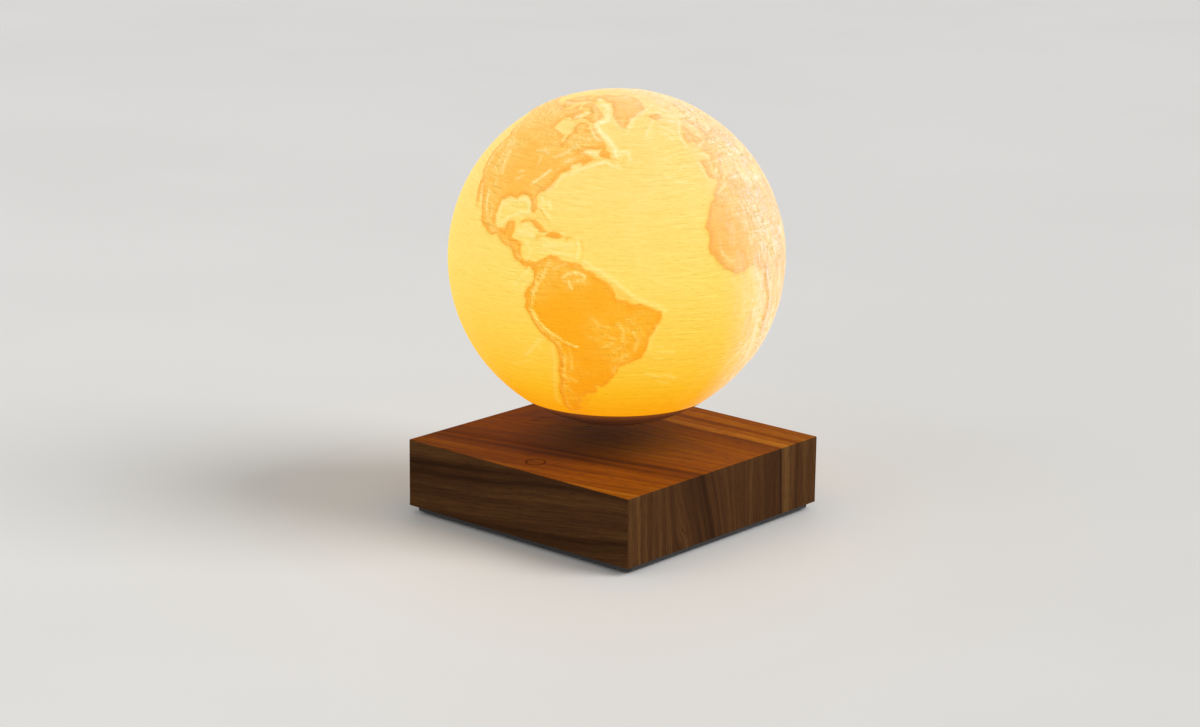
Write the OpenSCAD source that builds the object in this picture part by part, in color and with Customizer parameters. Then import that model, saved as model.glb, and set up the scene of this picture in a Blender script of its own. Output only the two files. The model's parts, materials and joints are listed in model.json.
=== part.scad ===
// Levitating globe lamp: a printed relief globe that floats over a square walnut base.
// The base hides the lifting magnets and the power coil. The globe's cap hides the floating
// magnet, the receiving coil and the light board. Millimetres, +Z up, origin on the table
// under the middle of the base.

/* [Wooden base] */
// Side of the square case
base_w = 127; // [114:1:160]
// Height of the wooden case
base_h = 30; // [27:0.5:44]
// Thickness of the four side boards
side_t = 8; // [6:0.5:10]
// Thickness of the top board
top_t = 4; // [3.5:0.25:6]
// Chamfer along the outer edges of the case
edge_chamfer = 0.4; // [0.2:0.1:1]
// Radius of the engraved touch ring
touch_r = 4.5; // [3:0.25:6]
// Width of the engraved line
touch_line = 0.6; // [0.4:0.1:1]
// Depth of the engraved line
touch_depth = 0.3; // [0.2:0.1:0.6]
// Space between the touch ring and the inner face of the front board
touch_in = 0.5; // [0.3:0.1:6]

/* [Underside] */
// Thickness of the bottom plate
plate_t = 2; // [1.5:0.25:4]
// How far the bottom plate stays inside the case's sides
plate_inset = 1.5; // [1:0.25:5]
// Radius of a rubber foot
foot_r = 6; // [4:0.5:8]
// How far a foot stands below the bottom plate
foot_h = 1.5; // [1:0.25:4]
// Depth of the recess that a foot sits in
foot_recess = 0.5; // [0.3:0.1:0.8]
// Side of the glue block in each corner
block_w = 12; // [10:0.5:14]
// Height of a glue block
block_h = 8; // [6:0.5:10]
// Radius of the bottom plate's screws
plate_screw_r = 1.5; // [1.25:0.25:2]
// How deep a plate screw goes into its glue block
plate_screw_grip = 6; // [3:0.5:7]

/* [Lifting module] */
// Space between the touch pad and the moulded carrier
pad_gap = 3.6; // [2:0.1:8]
// Thickness of the carrier
frame_t = 2.5; // [2.25:0.25:4]
// Space between the carrier's edge and the ring magnet
ring_edge = 3; // [2:0.25:6]
// Width of the ring magnet's band as a share of its radius
ring_share = 0.275; // [0.22:0.005:0.3]
// Space between the ring magnet and the main circuit board, for the leads
lead_space = 3; // [2:0.25:5]
// Space between an electromagnet and the ring magnet
coil_room = 1.5; // [0.75:0.25:3]
// Space between one electromagnet and the next
coil_apart = 1.3; // [0.5:0.1:3]
// Height of an electromagnet
bobbin_h = 11; // [9.5:0.5:14]
// Thickness of a flange
flange_t = 1; // [0.8:0.1:1.5]
// Radius of the steel core as a share of the electromagnet's radius
core_share = 0.36; // [0.3:0.01:0.45]
// Wall of the bobbin's tube
tube_t = 1; // [0.8:0.1:1.5]
// How far the main circuit board stays inside the carrier's edges
board_in = 3; // [1:0.5:4]
// Thickness of the circuit board
board_t = 1.6; // [1:0.1:2]
// Distance of the module's screws from the carrier's edges
module_screw_in = 8; // [7:0.5:9]
// Radius of the module's screws
module_screw_r = 1.5; // [1.25:0.05:1.6]
// How deep a module screw goes into the top board
module_screw_grip = 2.4; // [1.5:0.1:2.6]
// Outer radius of a spacer tube
spacer_r = 3; // [2.5:0.25:3.5]
// How far the transmitting coil's rim stays inside the ring magnet's
send_in = 2; // [1:0.25:4]
// Width of the transmitting coil's winding
send_w = 10.5; // [6:0.5:14]
// Thickness of the transmitting coil
send_t = 1.4; // [1:0.1:1.6]

/* [Power socket] */
// Height of the socket above the case's lower edge
jack_up = 12; // [9:0.5:16]
// Radius of the threaded nose
jack_r = 4; // [3.75:0.25:5]
// Radius of the outer flange
jack_flange_r = 5.5; // [5.25:0.25:7]
// Thickness of the outer flange
jack_flange_t = 1.2; // [0.8:0.1:2]
// Radius of the socket's bore
jack_bore_r = 2.85; // [2.6:0.05:3.2]
// Depth of the socket's bore
jack_bore_l = 9.5; // [8:0.5:10]
// Radius of the contact pin
jack_pin_r = 1; // [0.8:0.05:1.25]
// Length of the contact pin
jack_pin_l = 9; // [7:0.5:9]

/* [Globe] */
// Radius of the globe at sea level
sea_r = 72.7; // [68:0.5:90]
// Height of the land above the sea
land_h = 0.7; // [0.3:0.1:1.5]
// Wall of the printed globe at sea level
shell_t = 1.6; // [1.2:0.1:2.5]
// Air gap between the case and the lowest point of the globe's sphere
float_gap = 8.5; // [5:0.5:20]
// Southern latitude at which the globe meets its cap
split_lat = 55; // [53:0.5:56]
// Turn of the globe about the vertical axis
globe_turn = 1; // [0:1:359]
// Wall of the bottom cap
cap_t = 2; // [1.6:0.1:2.4]
// Radius of the flat under the cap
cap_flat_r = 9; // [5:0.5:14]
// Height of the cap's spigot above the split
spigot_h = 4; // [3:0.5:8]
// Wall of the spigot
spigot_t = 1.6; // [1.2:0.1:1.8]

/* [Floating module] */
// How far the floating magnet's rim stays inside the tray's
magnet_in = 11.85; // [11.5:0.05:16]
// Thickness of the floating magnet
magnet_t = 6; // [4:0.25:6.1]
// Wall of the tray's cup round the magnet
cup_t = 1.4; // [1:0.1:1.6]
// How far the tray stands above the split
tray_up = 0.5; // [0.3:0.1:1.5]
// Thickness of the tray
tray_t = 2; // [1.5:0.25:3]
// Width of the receiving coil's winding
receive_w = 4; // [2.5:0.25:4.25]
// Thickness of the receiving coil
receive_t = 2; // [1:0.25:2.5]
// How far the light board's rim stays inside the tray's
light_board_in = 1.3; // [0.8:0.1:1.6]
// Thickness of the light board
light_board_t = 1.2; // [0.8:0.1:2]
// Number of lamps on the light board
lamp_n = 12; // [6:1:20]
// Distance of the ring of lamps from the light board's rim
lamp_in = 10.5; // [8:0.5:15]
// How far the cap's screws stay inside the tray's rim
cap_screw_in = 3.65; // [3.45:0.05:3.85]
// Radius of the cap's screws
cap_screw_r = 1; // [0.8:0.1:1.1]
// How deep a cap screw goes into its post
cap_screw_grip = 2.6; // [2:0.2:3]

/* [Hidden] */
$fn = 96;

walnut = "#6e4526";
walnut_side = "#5c3a22";
pine = "#b58c5a";
black_abs = "#1b1b1c";
rubber = "#141414";
copper = "#b46a33";
magnet_grey = "#4a4b50";
nickel = "#b9babd";
steel = "#8e9196";
board_green = "#1f4d34";
board_white = "#e9e7df";
chip_black = "#222326";
aluminium = "#a9acb0";
glow = "#ffc65a";
cap_cream = "#c9a27a";
lead_red = "#9c1f1a";

// Clearances
fit = 0.1;            // between parts that are pushed together
slip = 0.2;           // between parts that slide or drop in
loose = 0.15;         // round the floating magnet, which carries the spin
eps = 0.01;           // cut past a face

// Heights from the table
plate_z = foot_h;
wood_z = plate_z + plate_t;
wood_top_z = wood_z + base_h;
ceiling_z = wood_top_z - top_t;
frame_z = ceiling_z - frame_t;
board_top_z = frame_z - bobbin_h;
board_z = board_top_z - board_t;
jack_z = wood_z + jack_up;

// Plan sizes of the base
half_w = base_w / 2;
cavity_half = half_w - side_t;
block_at = cavity_half - block_w / 2;
touch_y = -(cavity_half - touch_r - touch_in);
pad_r = touch_r - touch_line;
pad_t = 0.3;

// Plan sizes of the lifting module, which fills the space behind the touch pad
frame_w = 2 * (-touch_y - pad_r - pad_gap);
board_w = frame_w - 2 * board_in;
module_screw_at = frame_w / 2 - module_screw_in;
ring_out_r = frame_w / 2 - ring_edge;
ring_in_r = ring_out_r * (1 - ring_share);
ring_t = bobbin_h - lead_space;
send_out_r = ring_out_r - send_in;
send_in_r = send_out_r - send_w;
// Four electromagnets fill the ring, each one touching neither the ring nor the next
bobbin_r = ((ring_in_r - coil_room) * sqrt(2) - coil_apart) / (2 + sqrt(2));
coil_at = ring_in_r - coil_room - bobbin_r;
core_r = bobbin_r * core_share;
// Height at which the leads pass between the ring magnet and the board
lead_z = board_top_z + lead_space / 2;

// Fasteners
head_over = 1.3;      // how far a screw's head stands out past its shank
head_t = 1.5;
send_groove = send_t + slip;
send_exit_at = ring_out_r + 2.5;  // radius at which the coil's leads go down
send_exit_turn = 8;   // half the angle between the two leads
lead_r = 0.6;
lead_sides = 8;

// Parts under the main board, hung from its lower face
chip_t = 1.5;
chip_at = board_w / 5;
chip_w = 6;
chip_l = 7;
chip_pitch = 9.5;
control_size = [10, 10, 1.2];
control_at = -board_w / 10;
capacitor_r = 3.15;
capacitor_h = 5.4;
capacitor_at = [-0.3 * board_w, -0.19 * board_w];
capacitor_y = -board_w / 4;
inductor_size = [8, 8, 4];
inductor_at = [0.25 * board_w, -0.22 * board_w, 0];
sink_w = 4 * chip_pitch + chip_w;
sink_l = 12;
sink_base_t = 1.5;
fin_h = 4;
fin_t = 1.2;
fin_n = 8;

// The socket, along +Y from the outer face of the rear board
jack_nut_t = 2;
jack_nut_r = 5.6;
jack_tail = 4;        // how far the socket's body runs past its nut
jack_in_y = cavity_half - jack_nut_t - jack_tail;
tab_w = 1.6;
tab_t = 0.5;
tab_l = 3;
tab_at = 2;
jack_root_r = jack_pin_r + 0.5;  // the pin is thicker where the socket's body holds it

// The globe, about its own centre
globe_z = wood_top_z + float_gap + sea_r;
shell_in_r = sea_r - shell_t;
cap_in_r = sea_r - cap_t;
split_z = -sea_r * sin(split_lat);
split_in_r = sqrt(pow(shell_in_r, 2) - pow(split_z, 2));
cap_flat_z = -sqrt(pow(sea_r, 2) - pow(cap_flat_r, 2));
spigot_r = split_in_r - slip;
spigot_in_r = spigot_r - spigot_t;
spigot_root = 1.5;    // how far the spigot's ring reaches down into the cap's wall
tray_z = split_z + tray_up;
tray_r = spigot_in_r - slip;
tray_top_z = tray_z + tray_t;
magnet_r = tray_r - magnet_in;
cup_in_r = magnet_r + loose;
cup_r = cup_in_r + cup_t;
magnet_top_z = tray_z - loose;
magnet_z = magnet_top_z - magnet_t;
cup_z = magnet_z + 1;
seat_r = magnet_r - 3;
seat_w = 2;
receive_in_r = cup_r + fit;
receive_out_r = receive_in_r + receive_w;
light_board_r = tray_r - light_board_in;
light_top_z = tray_top_z + light_board_t;
cap_screw_at = tray_r - cap_screw_in;
post_r = cap_screw_at - receive_out_r - slip;
lamp_at = light_board_r - lamp_in;
lamp_size = [2.8, 3.5, 0.8];
// Chips and capacitor in the middle of the ring of lamps: size and place of each
light_chip_sizes = [[6, 6, 1.2], [4, 4, 1.5], [5, 5, 3]];
light_chip_at = [0, 0.36 * lamp_at, -0.36 * lamp_at];
light_capacitor_r = 2.5;
light_capacitor_h = 4;
// Posts, receive leads and lamps share the circle, so their turns are kept apart
post_turn = 15;
receive_lead_turn = 75;

// Land outlines as [longitude, latitude] in whole or half degrees
north_america = [
    [-168, 65.5], [-162, 67], [-166, 68.5], [-161, 70.5], [-156, 71.5], [-149, 70.5],
    [-141, 69.5], [-135, 69], [-129, 70], [-124, 69.5], [-116, 68.5], [-108, 68],
    [-101, 67.5], [-96, 68.5], [-94, 71.5], [-90, 69], [-86, 68.5], [-82, 69.5],
    [-82, 66.5], [-87, 65], [-88, 64], [-93, 62], [-94.5, 59], [-92.5, 57], [-88, 56.5],
    [-82.5, 55], [-82, 53], [-80, 51.5], [-78.5, 52.5], [-79.5, 54.5], [-77, 57],
    [-78.5, 59], [-77.5, 62.5], [-73.5, 62.5], [-70, 61], [-69.5, 59], [-66, 59],
    [-64.5, 60.5], [-62, 57.5], [-60, 55], [-56, 52.5], [-56, 51.5], [-60, 50],
    [-66, 50], [-69, 48.5], [-65, 49], [-64.5, 47.5], [-61, 46], [-64, 44.5],
    [-66, 43.5], [-66, 45], [-69, 44], [-70.5, 42.5], [-70, 41.5], [-74, 40.5],
    [-75.5, 38], [-76, 36.5], [-75.5, 35.5], [-78, 34], [-81, 32], [-81.5, 30],
    [-80, 27], [-80.5, 25], [-82, 26], [-82.5, 28], [-84, 30], [-86.5, 30.5],
    [-89, 30.5], [-89.5, 29], [-91.5, 29.5], [-94, 29.5], [-97, 28], [-97.5, 25],
    [-98, 22.5], [-96, 19], [-94.5, 18], [-92, 18.5], [-90.5, 19.5], [-90.5, 21],
    [-87, 21.5], [-87.5, 19.5], [-88.5, 17.5], [-88.5, 16], [-86, 16], [-83.5, 15],
    [-83.5, 12], [-83, 10], [-81, 9], [-79.5, 9.5], [-77, 8], [-78, 7], [-80, 8.5],
    [-80.5, 7.5], [-83, 8.5], [-84, 9], [-86, 10], [-86.5, 12], [-87.5, 13], [-90, 13.5],
    [-92.5, 14.5], [-94.5, 16], [-97, 16], [-100, 17], [-103, 18], [-105.5, 20],
    [-105.5, 22], [-108, 25], [-109.5, 26.5], [-112, 29], [-114.5, 31.5], [-113, 28],
    [-111, 25.5], [-109.5, 23], [-112, 25], [-114.5, 28], [-116, 30], [-117, 32.5],
    [-118.5, 34], [-120.5, 34.5], [-122.5, 37], [-124, 40.5], [-124, 46], [-124.5, 48.5],
    [-127.5, 51.5], [-130.5, 54.5], [-133.5, 57.5], [-137, 58.5], [-140, 60],
    [-145, 60.5], [-148.5, 60.5], [-152, 59], [-151, 61], [-154, 59], [-158, 56.5],
    [-162.5, 55], [-158, 58.5], [-162, 59], [-162, 60], [-165.5, 61.5], [-164, 63],
    [-161, 64.5], [-166, 64.5]
];
south_america = [
    [-77, 8.5], [-75.5, 10.5], [-74.5, 11], [-71.5, 12.5], [-71.5, 11], [-70, 12],
    [-68, 11], [-64.5, 10], [-62, 10.5], [-61, 9], [-58.5, 7.5], [-54, 6], [-51.5, 4],
    [-50, 1.5], [-50, 0], [-48.5, -1], [-46, -1], [-44.5, -2.5], [-41.5, -3],
    [-38.5, -3.5], [-35.5, -5], [-34.5, -7.5], [-35.5, -9.5], [-37, -11.5],
    [-39, -13.5], [-39, -17], [-40, -20], [-41, -22], [-43, -23], [-46.5, -24],
    [-48.5, -26], [-48.5, -28.5], [-50.5, -30.5], [-53.5, -34], [-55, -35],
    [-58.5, -34], [-57, -36], [-57.5, -38], [-62, -39], [-62.5, -41], [-65, -41],
    [-64, -42.5], [-65.5, -44.5], [-67.5, -46], [-66, -48], [-69, -50.5], [-68.5, -52.5],
    [-65.5, -54.5], [-67.5, -55.5], [-71.5, -54.5], [-74.5, -52], [-75.5, -48.5],
    [-74.5, -45], [-73.5, -42], [-73.5, -38], [-71.5, -33], [-71.5, -29.5],
    [-70.5, -24], [-70.5, -18.5], [-73, -16.5], [-76, -14], [-78, -10.5], [-79.5, -7.5],
    [-81, -6], [-80.5, -3.5], [-81, -2], [-80, 0.5], [-79, 2], [-77, 4], [-77.5, 6.5],
    [-78, 7.5]
];
greenland = [
    [-73, 78.5], [-66, 76], [-58, 75], [-54.5, 72], [-53.5, 69.5], [-53.5, 66.5],
    [-51.5, 64], [-48, 61], [-43.5, 60], [-42.5, 62], [-40, 65], [-34, 66.5],
    [-26, 68.5], [-22, 70.5], [-22, 73], [-19, 75.5], [-18, 80], [-25, 82], [-33, 83.5],
    [-45, 82.5], [-60, 82], [-67, 80.5]
];
africa = [
    [-6, 36], [-2, 35], [3, 37], [10, 37.5], [11, 37], [10, 34], [11.5, 33], [15, 32.5],
    [19, 30.5], [20, 32.5], [23, 32.5], [25, 31.5], [29, 31], [32.5, 31], [32.5, 30],
    [34, 26.5], [35.5, 24], [37, 21], [37.5, 18.5], [39.5, 15.5], [43, 12.5],
    [43.5, 11.5], [45, 10.5], [51, 12], [51, 9.5], [48, 4.5], [44, 1], [41.5, -2],
    [39, -5], [39.5, -7], [40.5, -11], [40.5, -15.5], [37, -18.5], [35, -20],
    [35.5, -24], [33, -26], [32.5, -28.5], [30, -31], [27, -33.5], [22, -34], [20, -35],
    [18.5, -34], [18, -32], [15.5, -27], [14.5, -22.5], [12, -17.5], [13.5, -12],
    [13, -9], [12, -6], [9, -1], [9.5, 2.5], [9.5, 4], [8.5, 4.5], [6, 4.5], [4.5, 6.5],
    [1, 6], [-2, 5], [-4.5, 5], [-7.5, 4.5], [-9.5, 6], [-11.5, 7], [-13, 9], [-15, 11],
    [-17, 12.5], [-17.5, 14.5], [-16.5, 16], [-16, 19], [-17, 21], [-16, 24],
    [-14.5, 26], [-13, 28], [-10, 29.5], [-9.5, 31.5], [-7, 34]
];
madagascar = [
    [49.5, -12], [50.5, -15.5], [47, -25], [45, -25.5], [43.5, -22], [44.5, -20],
    [44, -17], [47.5, -15]
];
europe = [
    [-9.5, 38.5], [-9, 42], [-9, 43], [-2, 43.5], [-1, 46], [-4.5, 48.5], [-1.5, 48.5],
    [-1.5, 49.5], [1.5, 50], [4, 52], [8, 53.5], [8, 57], [10.5, 57.5], [10, 54.5],
    [12.5, 54.5], [18.5, 55], [21, 55.5], [21.5, 57.5], [24.5, 57.5], [23.5, 59],
    [30, 60], [25, 60.5], [21.5, 61], [21.5, 63], [25.5, 65], [22, 65.5], [17.5, 62],
    [19, 60], [16.5, 57.5], [14, 55.5], [12.5, 56], [11, 59], [8, 58], [5.5, 59],
    [5, 62], [10, 64], [14.5, 68], [20, 70], [26, 71], [31, 70], [41, 67.5], [40, 66],
    [34, 66.5], [38, 64], [44, 66], [44, 68.5], [54, 68.5], [60, 69.5], [62, 69],
    [70, 47], [62, 25], [57, 27], [54, 26.5], [51, 28.5], [49, 30.5], [48, 29.5], [50, 26.5],
    [51.5, 24.5], [54, 24], [56.5, 26], [59, 23.5], [60, 22.5], [57.5, 19], [52, 15.5],
    [45, 13], [43.5, 13], [42.5, 16.5], [39, 21.5], [35, 28], [34.5, 29.5], [32.5, 30],
    [32.5, 31], [34.5, 31.5], [36, 35.5], [36, 37], [32.5, 36], [30.5, 36.5],
    [27.5, 37], [26.5, 39.5], [29, 41], [31.5, 41.5], [35, 42], [38, 41], [41.5, 41.5],
    [39, 44], [37, 45], [39, 47], [35, 46], [33.5, 44.5], [32.5, 46], [30, 46],
    [28, 43.5], [28, 42], [26, 41], [23.5, 40.5], [24, 38], [23, 36.5], [21.5, 37.5],
    [19.5, 41.5], [15.5, 43.5], [13.5, 45.5], [12.5, 44.5], [14, 42.5], [18.5, 40],
    [17, 40.5], [16, 38], [15.5, 40], [12.5, 41.5], [10, 44], [7, 43.5], [3, 43],
    [3, 42], [0, 39.5], [-0.5, 37.5], [-2, 37], [-5.5, 36], [-6.5, 37], [-9, 37]
];
asia = [
    [60, 69.5], [68, 68.5], [67, 71.5], [72.5, 73], [74, 68], [80, 72.5], [90, 75.5],
    [104, 77.5], [113, 74], [128, 73], [140, 72.5], [150, 71.5], [160, 69.5], [170, 70],
    [180, 69], [190, 66], [187, 64.5], [179, 62.5], [170, 60], [163, 58], [162, 56],
    [157, 51], [156, 57], [163, 61.5], [156, 61.5], [150, 59.5], [142, 59], [135.5, 55],
    [141, 53], [140.5, 48.5], [135.5, 44], [131, 42.5], [127.5, 40], [129.5, 37],
    [129, 35], [126.5, 34.5], [126.5, 37.5], [125, 39.5], [121.5, 39], [118, 39],
    [119, 37.5], [122.5, 37], [119.5, 35], [122, 32], [122, 29], [119.5, 25.5],
    [116.5, 23], [110.5, 21], [108, 21.5], [106, 19], [109, 15.5], [109.5, 12],
    [106.5, 9.5], [105, 8.5], [103, 11], [101, 13.5], [99.5, 10], [101, 7], [103.5, 4],
    [104, 1.5], [101.5, 3], [98.5, 8], [98.5, 11.5], [97.5, 16.5], [94.5, 16],
    [94.5, 18.5], [92, 22.5], [89, 22], [87, 21.5], [82.5, 16.5], [80, 15], [80, 11],
    [77.5, 8], [76, 11.5], [74, 16], [73, 20.5], [70, 21], [69, 22.5], [67, 25],
    [60, 25], [52, 47]
];
australia = [
    [113.5, -22.5], [113.5, -26.5], [116, -32], [115, -34.5], [118, -35], [123.5, -34],
    [129, -31.5], [132, -32], [135.5, -35], [138, -32.5], [138.5, -35.5], [141, -38],
    [144.5, -38], [146.5, -39], [150, -37.5], [151.5, -33.5], [153.5, -28.5], [153, -25],
    [149.5, -22], [146.5, -19], [145.5, -15], [142.5, -11], [141.5, -13], [141, -17.5],
    [139.5, -17.5], [135.5, -15], [137, -12], [132.5, -11.5], [130.5, -13], [129, -15],
    [126, -14], [122, -18], [119, -20.5]
];
// Islands big enough to show, each with its own few points
islands = [
    [[-61.5, 66.5], [-64, 63.5], [-66, 62], [-71.5, 63.5], [-77.5, 64.5], [-73, 67.5],
     [-78, 70], [-88, 71], [-89, 73.5], [-80.5, 73.5], [-74, 71.5], [-68, 70]],
    [[-117, 71.5], [-113, 69], [-105, 69], [-102, 70], [-106, 73], [-115, 73.5]],
    [[-90, 77], [-78, 76.5], [-75, 79], [-64, 82], [-70, 83], [-85, 82.5], [-92, 81]],
    [[-125, 72], [-121, 74.5], [-116, 73], [-122, 71.5]],
    [[-59.5, 47.5], [-57, 51], [-55.5, 51.5], [-56, 50], [-53.5, 49], [-53, 46.5],
     [-56, 47]],
    [[-85, 22], [-82.5, 23], [-80, 23], [-77, 21.5], [-74, 20], [-77.5, 20], [-81.5, 22]],
    [[-74.5, 18.5], [-73, 20], [-70, 20], [-68.5, 18.5], [-71, 18]],
    [[-5.5, 50], [-3, 50.5], [1.5, 51], [1.5, 52.5], [0, 53.5], [-1.5, 55.5],
     [-2, 57.5], [-3, 58.5], [-5, 58.5], [-6, 56.5], [-5, 55], [-3, 54], [-4.5, 53],
     [-5, 52], [-3.5, 51.5]],
    [[-10, 51.5], [-6.5, 52], [-5.5, 54.5], [-7.5, 55.5], [-10, 54]],
    [[-22.5, 64], [-18.5, 63.5], [-14, 65], [-15, 66.5], [-21, 66], [-24, 65.5]],
    [[131, 34], [133, 35.5], [137, 37], [139.5, 38.5], [141.5, 41.5], [142, 39.5],
     [141, 35.5], [137, 34.5], [133.5, 34]],
    [[140, 42], [142, 45.5], [145.5, 43.5], [143, 42]],
    [[142, 46], [143.5, 49], [143, 52], [142.5, 54.5], [142, 50]],
    [[95.5, 5.5], [98.5, 4], [103.5, -0.5], [106, -3], [105.5, -6], [102.5, -4],
     [100, -0.5]],
    [[105.5, -7], [112.5, -7], [114.5, -8.5], [108.5, -8]],
    [[109, 1.5], [113, 3], [116.5, 7], [119, 5], [118, 1], [116.5, -4], [112, -3.5],
     [110, -1]],
    [[119, -3], [120, 1], [125, 1.5], [121.5, 0.5], [123, -1], [121.5, -2.5],
     [122.5, -5], [121, -3], [120, -5.5]],
    [[131, -1], [134, -1], [135, -3.5], [138, -1.5], [144.5, -4], [148, -6],
     [150.5, -10.5], [147, -9.5], [143, -9], [138, -8.5], [135.5, -4.5], [133, -4]],
    [[120.5, 16], [122, 18.5], [121.5, 14], [124, 12.5], [120.5, 14]],
    [[122, 7], [125.5, 9.5], [126.5, 7], [125.5, 6]],
    [[80, 8], [81.5, 8], [80.5, 6]],
    [[145, -41], [148, -41], [147.5, -43.5], [146, -43.5]],
    [[172.5, -34.5], [175.5, -37], [178.5, -37.5], [177, -39.5], [175, -41.5],
     [174, -39.5]],
    [[172.5, -40.5], [174, -42], [171, -45.5], [168.5, -46.5], [166.5, -46], [170, -43]]
];

// The middle of an outline, good enough to aim its prism
function middle(points) =
    [for (axis = [0, 1])
        (max([for (p = points) p[axis]]) + min([for (p = points) p[axis]])) / 2];

// A point of the map, seen straight down on the spot that the prism is aimed at
function seen_from(centre, p, r) =
    let (turn = p[0] - centre[0])
    [r * (sin(centre[1]) * cos(p[1]) * cos(turn) - cos(centre[1]) * sin(p[1])),
     r * cos(p[1]) * sin(turn)];

// Rings of a tube that follows a path, as a list of corner points
function tube_points(path, r, sides, side_axis) =
    [for (i = [0 : len(path) - 1])
        let (along = path[min(i + 1, len(path) - 1)] - path[max(i - 1, 0)],
             a = cross(along, side_axis),
             u = a / norm(a),
             b = cross(along, u),
             v = b / norm(b))
        for (k = [0 : sides - 1])
            path[i] + r * (cos(360 * k / sides) * u + sin(360 * k / sides) * v)];

// A tube along a path that never runs along side_axis
module tube(path, r, sides, side_axis) {
    rings = len(path);
    walls = [for (i = [0 : rings - 2], k = [0 : sides - 1])
        let (n = (k + 1) % sides)
        [i * sides + k, (i + 1) * sides + k, (i + 1) * sides + n, i * sides + n]];
    ends = [[for (k = [0 : sides - 1]) k],
            [for (k = [sides - 1 : -1 : 0]) (rings - 1) * sides + k]];
    polyhedron(tube_points(path, r, sides, side_axis), concat(walls, ends));
}

// Points of a quarter bend in a plane, from one straight run to the next
function bend(from, corner, to, r, steps) =
    let (d1 = (corner - from) / norm(corner - from),
         d2 = (to - corner) / norm(to - corner))
    [for (i = [0 : steps])
        let (a = 90 * i / steps)
        corner - r * d1 + r * sin(a) * d1 + r * (1 - cos(a)) * d2];

module at_corners(d) {
    for (x = [-1, 1], y = [-1, 1]) translate([x * d, y * d, 0]) children();
}

module ring(r_out, r_in, h) {
    difference() {
        cylinder(r = r_out, h = h);
        translate([0, 0, -1]) cylinder(r = r_in, h = h + 2);
    }
}

// A square with its corners cut off
module cut_square(w, c) {
    h = w / 2;
    polygon([[-h + c, -h], [h - c, -h], [h, -h + c], [h, h - c],
             [h - c, h], [-h + c, h], [-h, h - c], [-h, -h + c]]);
}

// Extrudes a profile in X and Z along Y, over the whole case
module along_y() {
    rotate([90, 0, 0]) linear_extrude(height = base_w + 2, center = true) children();
}

// The outside of the case, with its chamfered edges
module case_block() {
    c = edge_chamfer;
    profile = [[-half_w, wood_z], [half_w, wood_z], [half_w, wood_top_z - c],
               [half_w - c, wood_top_z], [-half_w + c, wood_top_z],
               [-half_w, wood_top_z - c]];
    intersection() {
        translate([0, 0, wood_z]) linear_extrude(height = base_h) cut_square(base_w, c);
        along_y() polygon(profile);
        rotate([0, 0, 90]) along_y() polygon(profile);
    }
}

// The mitre that the top board makes with the sides
module top_mitre() {
    polygon([[-half_w, wood_top_z], [half_w, wood_top_z],
             [cavity_half, ceiling_z], [-cavity_half, ceiling_z]]);
}

// One side board in its place at the front, with mitred ends and a mitred top edge
module side_board() {
    intersection() {
        case_block();
        translate([0, 0, wood_z]) linear_extrude(height = base_h)
            polygon([[-half_w, -half_w], [half_w, -half_w],
                     [cavity_half, -cavity_half], [-cavity_half, -cavity_half]]);
        rotate([0, 0, 90]) along_y()
            polygon([[-half_w, wood_z], [-half_w, wood_top_z],
                     [-cavity_half, ceiling_z], [-cavity_half, wood_z]]);
    }
}

module wood_top() {
    color(walnut) difference() {
        intersection() {
            case_block();
            along_y() top_mitre();
            rotate([0, 0, 90]) along_y() top_mitre();
        }
        translate([0, touch_y, wood_top_z - touch_depth])
            ring(touch_r, touch_r - touch_line, touch_depth + 1);
        at_corners(module_screw_at)
            translate([0, 0, ceiling_z - eps])
                cylinder(r = module_screw_r + fit, h = module_screw_grip + fit + eps);
    }
}

module wood_front() {
    color(walnut_side) side_board();
}

module wood_right() {
    color(walnut_side) rotate([0, 0, 90]) side_board();
}

module wood_rear() {
    color(walnut_side) difference() {
        rotate([0, 0, 180]) side_board();
        translate([0, half_w + 1, jack_z]) rotate([90, 0, 0])
            cylinder(r = jack_r + fit, h = side_t + 2);
        translate([0, half_w + 1, jack_z]) rotate([90, 0, 0])
            cylinder(r = jack_flange_r + slip, h = jack_flange_t + 1);
    }
}

module wood_left() {
    color(walnut_side) rotate([0, 0, 270]) side_board();
}

module corner_blocks() {
    color(pine) difference() {
        at_corners(block_at) translate([-block_w / 2, -block_w / 2, wood_z])
            cube([block_w, block_w, block_h]);
        at_corners(block_at) translate([0, 0, wood_z - 1])
            cylinder(r = plate_screw_r + fit, h = plate_screw_grip + fit + 1);
    }
}

module bottom_plate() {
    color(black_abs) difference() {
        translate([0, 0, plate_z]) linear_extrude(height = plate_t)
            cut_square(base_w - 2 * plate_inset, 3);
        at_corners(block_at) {
            translate([0, 0, plate_z - 1]) cylinder(r = foot_r + fit, h = foot_recess + 1);
            translate([0, 0, plate_z]) cylinder(r = plate_screw_r + fit, h = plate_t + 1);
            translate([0, 0, plate_z + foot_recess - eps])
                cylinder(r1 = plate_screw_r + head_over + fit, r2 = plate_screw_r + fit,
                         h = head_over);
        }
    }
}

module plate_screws() {
    color(steel) at_corners(block_at) translate([0, 0, plate_z + foot_recess + fit]) {
        cylinder(r1 = plate_screw_r + head_over - fit, r2 = plate_screw_r - fit / 2,
                 h = head_over);
        cylinder(r = plate_screw_r,
                 h = plate_t - foot_recess - fit + plate_screw_grip);
    }
}

module feet() {
    color(rubber) at_corners(block_at) difference() {
        cylinder(r = foot_r, h = foot_h + foot_recess);
        translate([0, 0, foot_h + foot_recess - fit])
            cylinder(r = plate_screw_r + head_over, h = 1);
    }
}

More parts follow.
